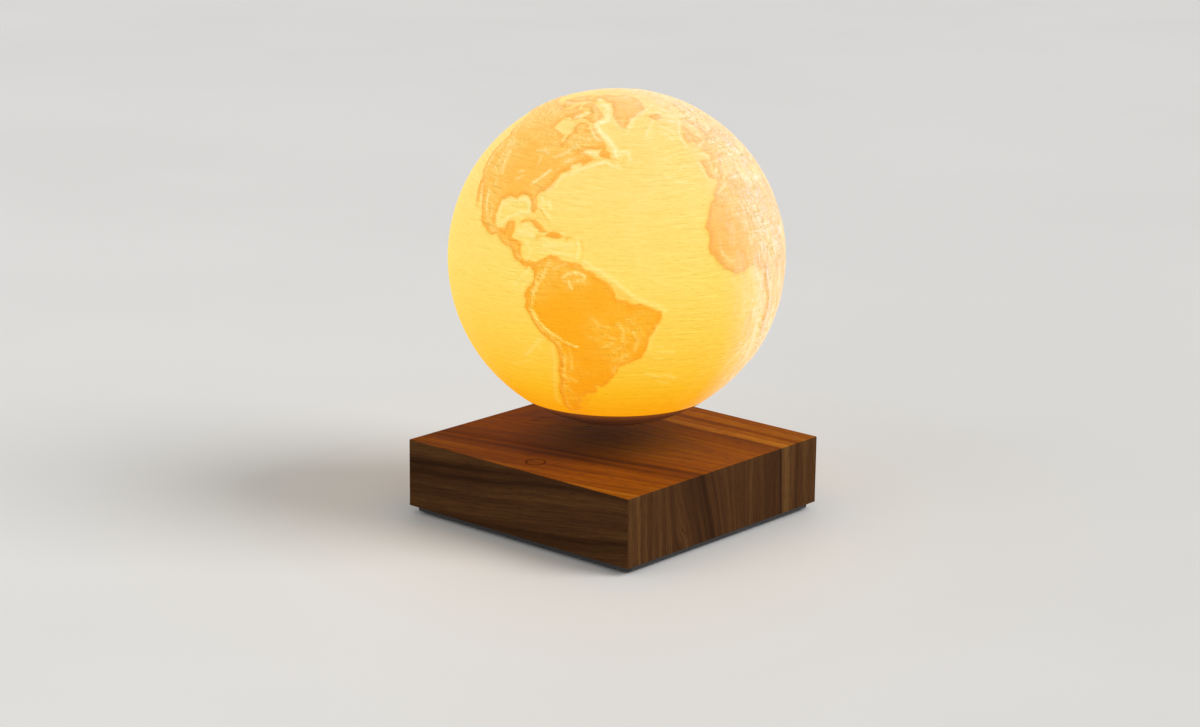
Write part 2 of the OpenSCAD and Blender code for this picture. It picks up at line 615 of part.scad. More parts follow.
module module_frame() {
    color(black_abs) difference() {
        translate([0, 0, frame_z]) linear_extrude(height = frame_t)
            cut_square(frame_w, 4);
        translate([0, 0, ceiling_z - send_groove])
            ring(send_out_r + slip, send_in_r - slip, send_groove + 1);
        for (side = [-1, 1]) rotate([0, 0, 45 + side * send_exit_turn]) {
            translate([send_out_r - 1, -lead_r - slip, ceiling_z - send_groove])
                cube([send_exit_at - send_out_r + 1, 2 * (lead_r + slip),
                      send_groove + 1]);
            translate([send_exit_at, 0, frame_z - 1])
                cylinder(r = lead_r + slip + fit, h = frame_t + 2);
        }
        at_corners(module_screw_at) translate([0, 0, frame_z - 1])
            cylinder(r = module_screw_r + fit, h = frame_t + 2);
    }
}

module send_coil() {
    color(copper) translate([0, 0, ceiling_z - send_groove])
        ring(send_out_r, send_in_r, send_t);
}

// Each lead leaves the coil in its channel and turns down to the main board
module send_leads() {
    z = ceiling_z - send_groove + lead_r;
    start = [send_out_r + fit, 0, z];
    corner = [send_exit_at, 0, z];
    end = [send_exit_at, 0, board_top_z];
    color(copper) for (side = [-1, 1]) rotate([0, 0, 45 + side * send_exit_turn])
        tube(concat([start], bend(start, corner, end, 1.2, 4), [end]),
             lead_r, lead_sides, [0, 1, 0]);
}

module lift_ring_magnet() {
    color(magnet_grey) translate([0, 0, frame_z - ring_t])
        ring(ring_out_r, ring_in_r, ring_t);
}

module at_coils() {
    for (k = [0 : 3]) rotate([0, 0, 90 * k]) translate([coil_at, 0, board_top_z])
        children();
}

module coil_bobbins() {
    color(black_abs) at_coils() difference() {
        union() {
            cylinder(r = bobbin_r, h = flange_t);
            translate([0, 0, bobbin_h - flange_t]) cylinder(r = bobbin_r, h = flange_t);
            cylinder(r = core_r + fit + tube_t, h = bobbin_h);
        }
        translate([0, 0, -1]) cylinder(r = core_r + fit, h = bobbin_h + 2);
    }
}

module coil_windings() {
    color(copper) at_coils() translate([0, 0, flange_t + fit])
        ring(bobbin_r - 0.4, core_r + tube_t + 2 * fit, bobbin_h - 2 * (flange_t + fit));
}

module coil_cores() {
    color(steel) at_coils() cylinder(r = core_r, h = bobbin_h);
}

// The sensors stand between the four electromagnets
sensor_post_w = 5;
sensor_size = [3, 1.2, 4];
module sensor_post() {
    color(board_green) translate([-sensor_post_w / 2, -sensor_post_w / 2, board_top_z])
        cube([sensor_post_w, sensor_post_w, bobbin_h - 1]);
}

module hall_sensors() {
    color(chip_black) for (k = [0 : 2]) rotate([0, 0, 45 + 90 * k])
        rotate([0, 0, -45])
            translate([-sensor_size[0] / 2, sensor_post_w / 2,
                       board_top_z + bobbin_h - 2 - sensor_size[2]])
                cube(sensor_size);
}

module main_board() {
    color(board_green) difference() {
        translate([0, 0, board_z]) linear_extrude(height = board_t)
            cut_square(board_w, 3);
        at_corners(module_screw_at) translate([0, 0, board_z - 1])
            cylinder(r = module_screw_r + fit, h = board_t + 2);
    }
}

module spacers() {
    color(nickel) at_corners(module_screw_at) translate([0, 0, board_top_z])
        ring(spacer_r, module_screw_r + fit, bobbin_h);
}

module module_screws() {
    color(steel) at_corners(module_screw_at) {
        translate([0, 0, board_z])
            cylinder(r = module_screw_r,
                     h = ceiling_z + module_screw_grip - board_z);
        translate([0, 0, board_z - head_t])
            cylinder(r = module_screw_r + head_over, h = head_t);
    }
}

module hung(size, at) {
    translate([at[0] - size[0] / 2, at[1] - size[1] / 2, board_z - at[2] - size[2]])
        cube(size);
}

module driver_chips() {
    color(chip_black) for (k = [0 : 3])
        hung([chip_w, chip_l, chip_t], [(k - 1.5) * chip_pitch, chip_at, 0]);
}

module heat_sink() {
    color(aluminium) union() {
        hung([sink_w, sink_l, sink_base_t], [0, chip_at, chip_t]);
        for (k = [0 : fin_n - 1])
            hung([fin_t, sink_l, fin_h],
                 [(k / (fin_n - 1) - 0.5) * (sink_w - fin_t), chip_at,
                  chip_t + sink_base_t - eps]);
    }
}

module control_chip() {
    color(chip_black) hung(control_size, [0, control_at, 0]);
}

module capacitors() {
    color(nickel) for (x = capacitor_at)
        translate([x, capacitor_y, board_z - capacitor_h])
            cylinder(r = capacitor_r, h = capacitor_h);
}

module inductor() {
    color(magnet_grey) hung(inductor_size, inductor_at);
}

module touch_pad() {
    color(copper) translate([0, touch_y, ceiling_z - pad_t])
        cylinder(r = pad_r, h = pad_t);
}

// From the pad down to the edge of the main board
module touch_lead() {
    edge_y = -board_w / 2 + 1.5;
    start = [0, touch_y, ceiling_z - pad_t];
    corner = [0, touch_y, lead_z];
    turn = [0, edge_y, lead_z];
    end = [0, edge_y, board_top_z];
    color(lead_red)
        tube(concat([start], bend(start, corner, turn, 2, 4),
                    bend(corner, turn, end, lead_space / 3, 4), [end]),
             lead_r, lead_sides, [1, 0, 0]);
}

// The socket is drawn along +Z with its mouth up, then laid along +Y
module at_jack() {
    translate([0, half_w, jack_z]) rotate([-90, 0, 0]) children();
}

module dc_jack() {
    color(chip_black) at_jack() {
        difference() {
            union() {
                translate([0, 0, -jack_flange_t])
                    cylinder(r = jack_flange_r, h = jack_flange_t);
                translate([0, 0, jack_in_y - half_w])
                    cylinder(r = jack_r, h = half_w - jack_in_y - eps);
            }
            translate([0, 0, -jack_bore_l]) cylinder(r = jack_bore_r, h = jack_bore_l + 1);
            translate([0, 0, jack_in_y - half_w - 1])
                cylinder(r = jack_root_r + fit, h = half_w - jack_in_y);
        }
    }
}

module jack_pin() {
    color(nickel) at_jack() {
        translate([0, 0, jack_in_y - half_w])
            cylinder(r = jack_root_r, h = half_w - jack_in_y - jack_bore_l);
        translate([0, 0, -jack_bore_l - eps])
            cylinder(r = jack_pin_r, h = jack_pin_l + eps);
        for (x = [-1, 1])
            translate([x * tab_at - tab_w / 2, -tab_t / 2,
                       jack_in_y - half_w - tab_l])
                cube([tab_w, tab_t, tab_l - fit]);
    }
}

module jack_nut() {
    color(nickel) translate([0, cavity_half, jack_z]) rotate([90, 0, 0]) difference() {
        cylinder(r = jack_nut_r, h = jack_nut_t, $fn = 6);
        translate([0, 0, -1]) cylinder(r = jack_r + fit, h = jack_nut_t + 2);
    }
}

// Two leads from the socket's tabs up and over to the main board
module power_leads() {
    tab_y = jack_in_y - tab_l;
    board_y = board_w / 2 - 2;
    color(lead_red) for (x = [-1, 1]) {
        at_x = x * tab_at;
        start = [at_x, tab_y - fit, jack_z];
        middle_y = (tab_y + board_y) / 2;
        end = [at_x, board_y, board_top_z];
        tube([start, [at_x, tab_y - 1.2, jack_z + 0.3],
              [at_x, middle_y, max(lead_z, jack_z + 1)],
              [at_x, board_y + 1, lead_z + 0.2], [at_x, board_y, lead_z - 0.6], end],
             lead_r, lead_sides, [1, 0, 0]);
    }
}

// The land of one outline as a straight prism through the sphere's surface
module land(outline) {
    centre = middle(outline);
    rotate([0, 0, centre[0]]) rotate([0, 90 - centre[1], 0])
        translate([0, 0, sea_r * 0.15])
            linear_extrude(height = sea_r)
                polygon([for (p = outline) seen_from(centre, p, sea_r)]);
}

module globe_shell() {
    color(glow) translate([0, 0, globe_z]) difference() {
        union() {
            sphere(r = sea_r);
            rotate([0, 0, globe_turn]) intersection() {
                sphere(r = sea_r + land_h);
                union() {
                    land(north_america);
                    land(south_america);
                    land(greenland);
                    land(africa);
                    land(madagascar);
                    land(europe);
                    land(asia);
                    land(australia);
                    for (island = islands) land(island);
                }
            }
        }
        sphere(r = shell_in_r);
        translate([-sea_r - 5, -sea_r - 5, split_z - 2 * sea_r])
            cube([2 * sea_r + 10, 2 * sea_r + 10, 2 * sea_r]);
    }
}

module at_posts() {
    for (k = [0 : 2]) rotate([0, 0, post_turn + 120 * k])
        translate([cap_screw_at, 0, 0]) children();
}

module bottom_cap() {
    color(cap_cream) translate([0, 0, globe_z]) difference() {
        union() {
            difference() {
                sphere(r = sea_r);
                sphere(r = cap_in_r);
                translate([-sea_r - 5, -sea_r - 5, split_z])
                    cube([2 * sea_r + 10, 2 * sea_r + 10, 2 * sea_r]);
            }
            intersection() {
                sphere(r = sea_r - cap_t / 2);
                union() {
                    translate([0, 0, split_z - spigot_root])
                        ring(spigot_r, spigot_in_r, spigot_h + spigot_root);
                    translate([0, 0, -sea_r])
                        ring(seat_r, seat_r - seat_w, sea_r + magnet_z - loose);
                    at_posts() translate([0, 0, -sea_r])
                        cylinder(r = post_r, h = sea_r + tray_z);
                }
            }
        }
        translate([-sea_r, -sea_r, cap_flat_z - 10])
            cube([2 * sea_r, 2 * sea_r, 10]);
        at_posts() translate([0, 0, tray_z - cap_screw_grip - fit])
            cylinder(r = cap_screw_r + fit, h = sea_r);
    }
}

module float_magnet() {
    color(nickel) translate([0, 0, globe_z + magnet_z])
        cylinder(r = magnet_r, h = magnet_t);
}

module coil_tray() {
    color(board_white) translate([0, 0, globe_z]) difference() {
        union() {
            translate([0, 0, tray_z]) cylinder(r = tray_r, h = tray_t);
            translate([0, 0, cup_z]) ring(cup_r, cup_in_r, tray_z - cup_z + eps);
        }
        at_posts() translate([0, 0, tray_z - 1])
            cylinder(r = cap_screw_r + fit, h = tray_t + 2);
        at_receive_leads() cylinder(r = lead_r + slip, h = tray_t + 4);
    }
}

module at_receive_leads() {
    for (side = [-1, 1]) rotate([0, 0, receive_lead_turn + 4 * side])
        translate([(receive_in_r + receive_out_r) / 2, 0, tray_z - 1]) children();
}

module receive_coil() {
    color(copper) translate([0, 0, globe_z + tray_z - receive_t])
        ring(receive_out_r, receive_in_r, receive_t);
}

module receive_leads() {
    color(copper) translate([0, 0, globe_z]) at_receive_leads()
        translate([0, 0, 1]) cylinder(r = lead_r, h = tray_t, $fn = 16);
}

module light_board() {
    color(board_white) translate([0, 0, globe_z]) difference() {
        translate([0, 0, tray_top_z]) cylinder(r = light_board_r, h = light_board_t);
        at_posts() translate([0, 0, tray_top_z - 1])
            cylinder(r = cap_screw_r + fit, h = light_board_t + 2);
    }
}

module lamps() {
    color(glow) translate([0, 0, globe_z + light_top_z])
        for (k = [0 : lamp_n - 1]) rotate([0, 0, 360 * k / lamp_n])
            translate([lamp_at - lamp_size[0] / 2, -lamp_size[1] / 2, 0])
                cube(lamp_size);
}

module light_chips() {
    color(chip_black) translate([0, 0, globe_z + light_top_z]) {
        for (k = [0 : 2])
            translate([light_chip_at[k] - light_chip_sizes[k][0] / 2,
                       -light_chip_sizes[k][1] / 2, 0])
                cube(light_chip_sizes[k]);
        translate([0, 0.36 * lamp_at, 0])
            cylinder(r = light_capacitor_r, h = light_capacitor_h);
    }
}

module cap_screws() {
    color(steel) translate([0, 0, globe_z]) at_posts() {
        translate([0, 0, tray_z - cap_screw_grip])
            cylinder(r = cap_screw_r, h = light_top_z - tray_z + cap_screw_grip + eps);
        translate([0, 0, light_top_z]) cylinder(r = cap_screw_r + 0.9, h = 1.2);
    }
}

wood_top();
wood_front();
wood_right();
wood_rear();
wood_left();
corner_blocks();
bottom_plate();
plate_screws();
feet();
module_frame();
send_coil();
send_leads();
lift_ring_magnet();
coil_bobbins();
coil_windings();
coil_cores();
sensor_post();
hall_sensors();
main_board();
spacers();
module_screws();
driver_chips();
control_chip();
capacitors();
inductor();
heat_sink();
touch_pad();
touch_lead();
dc_jack();
jack_pin();
jack_nut();
power_leads();
globe_shell();
bottom_cap();
float_magnet();
coil_tray();
receive_coil();
receive_leads();
light_board();
lamps();
light_chips();
cap_screws();
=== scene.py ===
import json
import math
import bmesh
import bpy
import numpy as np
from mathutils import Euler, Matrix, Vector


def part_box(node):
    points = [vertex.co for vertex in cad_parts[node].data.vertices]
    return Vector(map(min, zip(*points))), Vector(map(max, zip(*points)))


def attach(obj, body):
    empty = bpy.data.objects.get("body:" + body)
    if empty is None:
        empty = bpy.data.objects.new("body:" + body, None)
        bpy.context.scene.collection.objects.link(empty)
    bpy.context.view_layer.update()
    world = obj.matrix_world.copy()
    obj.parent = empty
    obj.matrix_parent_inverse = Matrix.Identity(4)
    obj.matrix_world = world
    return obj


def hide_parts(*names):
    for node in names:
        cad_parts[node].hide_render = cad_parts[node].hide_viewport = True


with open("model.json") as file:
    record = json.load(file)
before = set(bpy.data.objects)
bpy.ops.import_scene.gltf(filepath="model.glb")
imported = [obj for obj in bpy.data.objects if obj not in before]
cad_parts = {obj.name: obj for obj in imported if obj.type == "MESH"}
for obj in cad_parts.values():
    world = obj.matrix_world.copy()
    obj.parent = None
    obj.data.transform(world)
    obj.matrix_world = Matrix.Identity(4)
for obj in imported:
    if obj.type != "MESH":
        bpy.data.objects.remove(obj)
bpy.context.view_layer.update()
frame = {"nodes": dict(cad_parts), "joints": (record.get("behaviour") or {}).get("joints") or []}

# Lengths are in metres, but the map's distances, widths and heights are in millimetres
MM = 0.001

# The globe's measures that its box doesn't give: wall, turn and open edge in degrees
WALL = 1.6 * MM
GLOBE_TURN = 1.0
SPLIT_LAT = 55.0

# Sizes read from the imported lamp
HALF = -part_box("wood_front")[0].y
CASE_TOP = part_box("wood_top")[1].z
TOUCH_LOW, TOUCH_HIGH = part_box("touch_pad")
TOUCH_Y = (TOUCH_LOW.y + TOUCH_HIGH.y) / 2
TOUCH_R = (TOUCH_HIGH.x - TOUCH_LOW.x) / 2 + 0.3 * MM
GLOBE_Z = next(j["pos_m"][2] for j in frame["joints"] if j["name"] == "globe_spin")
SPLIT_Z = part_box("globe_shell")[0].z - GLOBE_Z
SEA_R = -SPLIT_Z / math.sin(math.radians(SPLIT_LAT))

# How high each thing stands on the globe, and how deep the sea lies under them all
LAND_RISE, SHELF_RISE, PEAK_RISE, FLOOR_RISE, STREAK_RISE, SEA_DROP = 0.26, 0.12, 0.34, 0.2, 0.2, 0.14

# Distances to the coast are cut off here, and coasts wander by this many degrees
COAST_REACH = 6.0
COAST_WANDER = 1.1

# The photograph's camera: where it stands, where it looks, its roll and its lens
CAMERA_AT = Vector((0.7973, -0.9160, 0.3904))
CAMERA_AIM = Vector((-0.0102, 0.0018, 0.0650))
CAMERA_ROLL = math.radians(0.63)
CAMERA_LENS = 86.51

# Land outlines as longitude and latitude in degrees
NORTH_AMERICA = [
    (-168, 65.6), (-163, 67), (-166, 68.5), (-161, 70.3), (-156, 71.3), (-149, 70.5),
    (-141, 69.7), (-135, 69), (-129, 70), (-124, 69.5), (-116, 68.8), (-108, 68),
    (-101, 67.8), (-96, 68.3), (-94, 71.8), (-90, 69.2), (-86, 68.5), (-82, 69.5),
    (-82, 66.5), (-87, 65), (-88, 64), (-93, 62), (-94.5, 59), (-92.5, 57), (-88, 56.5),
    (-82.3, 55.2), (-82, 53), (-80, 51.3), (-78.8, 52.5), (-79.5, 54.7), (-77, 57),
    (-78.3, 59), (-77.5, 62.3), (-73.5, 62.3), (-70, 61), (-69.5, 59), (-66, 58.8),
    (-64.5, 60.3), (-62, 57.5), (-60, 55), (-56, 52.5), (-56, 51.4), (-60, 50.2),
    (-66, 50.2), (-69, 48.5), (-65, 49), (-64.5, 47.5), (-61, 46), (-60, 46.2),
    (-64, 44.6), (-66, 43.6), (-66, 45.2), (-69, 44), (-70.7, 42.8), (-70, 41.7),
    (-74, 40.6), (-75.5, 38), (-76, 36.8), (-75.6, 35.3), (-78, 34), (-81, 32),
    (-81.4, 30.3), (-80, 27), (-80.4, 25.2), (-81.8, 26), (-82.7, 28), (-84, 30),
    (-86.5, 30.4), (-89.2, 30.3), (-89.3, 29.2), (-91.5, 29.4), (-94, 29.6),
    (-97.2, 27.8), (-97.6, 25), (-97.8, 22.3), (-96.2, 19.2), (-94.5, 18.2), (-92, 18.6),
    (-90.7, 19.5), (-90.3, 21), (-87.2, 21.5), (-87.5, 19.5), (-88.3, 17.5),
    (-88.7, 15.9), (-86, 15.9), (-83.3, 15), (-83.6, 12), (-83, 10), (-81, 8.9),
    (-79.6, 9.5), (-77, 8.6), (-76, 7), (-78, 7), (-79.8, 8.6), (-80.4, 7.4),
    (-82.8, 8.2), (-84, 9.2), (-85.7, 10), (-86.5, 11.8), (-87.6, 13), (-90, 13.7),
    (-92.5, 14.6), (-94.5, 16.2), (-97, 15.8), (-100, 17), (-103, 18.2), (-105.5, 20.2),
    (-105.5, 22), (-108, 25), (-109.5, 26.5), (-112, 29), (-114.7, 31.7), (-112.8, 28),
    (-111, 25.5), (-109.7, 23.2), (-112, 25), (-114.5, 27.8), (-115.8, 30),
    (-117.2, 32.6), (-118.5, 34), (-120.6, 34.6), (-122.4, 37.2), (-124.2, 40.4),
    (-124.2, 43), (-124, 46.3), (-124.7, 48.3), (-123, 49.2), (-127.5, 51.3),
    (-130.3, 54.5), (-133.5, 57.5), (-136.7, 58.5), (-140, 59.8), (-145, 60.3),
    (-148.5, 60.5), (-151.8, 59.2), (-151, 61), (-154, 59.2), (-158, 56.5), (-162.5, 55),
    (-158.5, 58.2), (-157, 58.8), (-162, 58.8), (-162, 60), (-165.5, 61.5),
    (-164, 63.2), (-161, 64.5), (-166, 64.5),
]
SOUTH_AMERICA = [
    (-77.8, 8.6), (-75.5, 10.6), (-74.8, 11.1), (-71.7, 12.4), (-71.5, 11), (-70.2, 12),
    (-68.3, 10.8), (-64.5, 10.2), (-62, 10.7), (-61, 9), (-58.5, 7.5), (-54, 5.9),
    (-51.7, 4.2), (-50, 1.5), (-50.2, 0), (-48.5, -0.8), (-46, -1.1), (-44.3, -2.6),
    (-41.5, -2.9), (-38.5, -3.8), (-35.3, -5.3), (-34.8, -7.3), (-35.3, -9.3),
    (-37.2, -11.3), (-38.9, -13.5), (-39.1, -17.2), (-40, -20), (-41, -22),
    (-42.5, -22.9), (-46.3, -24), (-48.6, -25.8), (-48.8, -28.5), (-50.3, -30.3),
    (-53.5, -33.8), (-55, -34.9), (-58.3, -34), (-57.2, -36), (-57.6, -38),
    (-62.2, -39), (-62.3, -41), (-65, -41), (-63.8, -42.5), (-65.4, -44.5),
    (-67.5, -46.2), (-65.8, -47.8), (-69, -50.3), (-68.3, -52.5), (-65.2, -54.7),
    (-67.5, -55.8), (-71.5, -54.5), (-74.5, -52), (-75.5, -48.5), (-74.5, -45),
    (-73.5, -41.8), (-73.5, -38), (-71.7, -33), (-71.4, -29.5), (-70.3, -24),
    (-70.3, -18.4), (-73, -16.5), (-76.3, -13.8), (-77.8, -10.5), (-79.7, -7.2),
    (-81.2, -5.8), (-80.4, -3.4), (-81, -2), (-80, 0.5), (-78.8, 1.8), (-77.2, 4),
    (-77.4, 6.5), (-79, 7.6),
]
GREENLAND = [
    (-73, 78.3), (-66, 76), (-58, 75), (-54.5, 72), (-53.5, 69.5), (-53.5, 66.5),
    (-51.5, 63.8), (-48, 61), (-43.5, 59.9), (-42.5, 62), (-40, 65), (-34, 66.5),
    (-26, 68.5), (-22, 70.5), (-22, 73), (-19, 75.5), (-18, 80), (-25, 82), (-33, 83.5),
    (-45, 82.5), (-60, 82), (-67, 80.5),
]
AFRICA = [
    (-5.9, 35.8), (-2, 35.1), (3, 36.8), (9.8, 37.3), (11, 36.8), (10, 34.2),
    (11.5, 33.1), (15.2, 32.3), (19, 30.3), (20, 32.2), (23.2, 32.2), (25, 31.6),
    (29, 30.9), (32.3, 31.2), (34.8, 31.5), (36, 30), (34.5, 28.5), (33, 29),
    (34, 26.5), (35.5, 24), (37.2, 21), (37.5, 18.5), (39.5, 15.5), (43, 12.5),
    (43.3, 11.5), (45, 10.5), (51.2, 11.9), (50.8, 9.5), (48, 4.5), (44, 1),
    (41.5, -2), (39.2, -4.8), (39.5, -7), (40.6, -11), (40.6, -15.5), (36.8, -18.3),
    (34.8, -20), (35.4, -23.8), (32.8, -26), (32.5, -28.5), (30, -31.2), (27, -33.7),
    (22, -34.2), (20, -34.8), (18.3, -34), (18.2, -31.8), (15.3, -27), (14.5, -22.5),
    (11.8, -17.5), (13.7, -12), (13.2, -9), (12.2, -5.8), (9, -1), (9.7, 2.5),
    (9.6, 4), (8.5, 4.6), (6, 4.3), (4.3, 6.3), (1, 5.9), (-2, 4.8), (-4.5, 5.2),
    (-7.6, 4.4), (-9.3, 6), (-11.5, 6.9), (-13.2, 8.8), (-15, 11), (-16.8, 12.5),
    (-17.4, 14.7), (-16.4, 16.2), (-16.2, 19), (-17, 21), (-15.8, 23.9),
    (-14.5, 26.2), (-12.9, 27.9), (-10, 29.5), (-9.7, 31.5), (-6.8, 34.1),
]
EURASIA = [
    (-9.4, 38.8), (-8.8, 41.8), (-9.2, 43.1), (-1.8, 43.4), (-1.2, 46), (-4.6, 48.4),
    (-1.6, 48.7), (-1.5, 49.7), (1.5, 50.2), (4, 51.8), (8.2, 53.6), (8.2, 57),
    (10.6, 57.7), (10, 54.5), (12.5, 54.3), (18.5, 54.8), (21, 55.3), (21.5, 57.5),
    (24.3, 57.3), (23.5, 59.2), (30, 59.8), (25, 60.3), (21.5, 60.8), (21.5, 63),
    (25.3, 65), (22, 65.7), (17.5, 62), (18.8, 60), (16.5, 57.5), (14.2, 55.4),
    (12.7, 56), (11.2, 59), (8, 58), (5.5, 59), (5.2, 61.8), (10, 64), (14.5, 68),
    (20, 70), (26, 71), (31, 70.2), (41, 67.5), (40, 66.2), (34, 66.5), (38, 64.2),
    (44, 66.2), (44, 68.5), (54, 68.5), (60, 69.5), (68, 68.5), (67, 71.5),
    (72.5, 72.8), (74, 68), (80, 72.5), (90, 75.5), (104, 77.7), (113, 74), (128, 73),
    (140, 72.5), (150, 71.5), (160, 69.7), (170, 70), (180, 69), (190.5, 66),
    (187, 64.5), (179, 62.5), (170, 60), (163, 58), (162, 56), (156.8, 51),
    (155.8, 56.8), (163, 61.5), (156, 61.6), (150, 59.5), (142, 59.2), (135.3, 54.8),
    (141, 53), (140.3, 48.5), (135.5, 44), (131, 42.7), (127.5, 40), (129.4, 37),
    (129, 35.2), (126.4, 34.5), (126.5, 37.5), (125, 39.6), (121.5, 39), (118, 39),
    (119, 37.3), (122.4, 37.2), (119.3, 35), (121.8, 31.8), (121.8, 29), (119.5, 25.5),
    (116.5, 23), (110.4, 21.2), (108, 21.6), (105.8, 19), (108.8, 15.3), (109.3, 12),
    (106.5, 9.5), (105, 8.7), (103, 11), (100.9, 13.3), (99.3, 10), (101, 6.8),
    (103.5, 4), (104.2, 1.4), (101.3, 2.9), (98.3, 8), (98.6, 11.5), (97.5, 16.5),
    (94.3, 16), (94.3, 18.7), (91.8, 22.4), (89, 21.8), (87, 21.3), (82.3, 16.6),
    (80.2, 15), (79.9, 11), (77.5, 8.1), (75.8, 11.5), (73.8, 16), (72.8, 20.5),
    (70, 20.9), (69, 22.3), (67, 24.8), (61.5, 25.1), (57.2, 26.8), (54, 26.6),
    (51, 28.5), (48.8, 30.3), (48, 29.5), (50.2, 26.3), (51.3, 24.6), (54, 24.1),
    (56.3, 26.2), (58.8, 23.5), (59.8, 22.4), (57.5, 18.9), (52.2, 15.6), (45, 12.8),
    (43.3, 12.8), (42.7, 16.5), (39, 21.3), (35, 28), (33.5, 30), (33.5, 31),
    (35, 32.5), (35.9, 35.5), (36, 36.8), (32.5, 36.1), (30.5, 36.6), (27.3, 36.8),
    (26.3, 39.3), (29, 41.1), (31.3, 41.3), (35, 42), (38, 41), (41.5, 41.5),
    (39, 43.8), (37, 45.2), (39, 47.2), (35, 46.2), (33.5, 44.5), (32.5, 46),
    (30, 45.8), (28, 43.5), (28, 41.8), (26, 40.8), (23.5, 40.5), (24, 38),
    (22.8, 36.5), (21.5, 37.5), (19.4, 41.5), (15.5, 43.5), (13.7, 45.6), (12.4, 44.5),
    (14, 42.5), (16, 41.6), (18.4, 40), (16.8, 40.5), (15.8, 38), (15.5, 40),
    (12.3, 41.7), (10.2, 43.9), (7, 43.4), (3.2, 43.2), (3.1, 41.8), (0, 39.5),
    (-0.7, 37.7), (-2, 36.8), (-5.4, 36.1), (-6.3, 36.8), (-8.9, 37),
]
AUSTRALIA = [
    (113.7, -22.5), (113.5, -26.3), (115.8, -32), (115, -34.3), (118, -35),
    (123.5, -33.9), (129, -31.7), (132, -32), (135.5, -34.8), (138, -32.7),
    (138.5, -35.6), (141, -38.2), (144.5, -38.2), (146.4, -39), (150, -37.5),
    (151.3, -33.5), (153.5, -28.5), (153, -25.2), (149.5, -22), (146.3, -19),
    (145.3, -15), (142.6, -10.8), (141.6, -13), (140.8, -17.5), (139.5, -17.5),
    (135.5, -15), (136.8, -12.2), (132.6, -11.3), (130.5, -12.8), (129, -15),
    (126, -14), (122.2, -18), (118.8, -20.3),
]
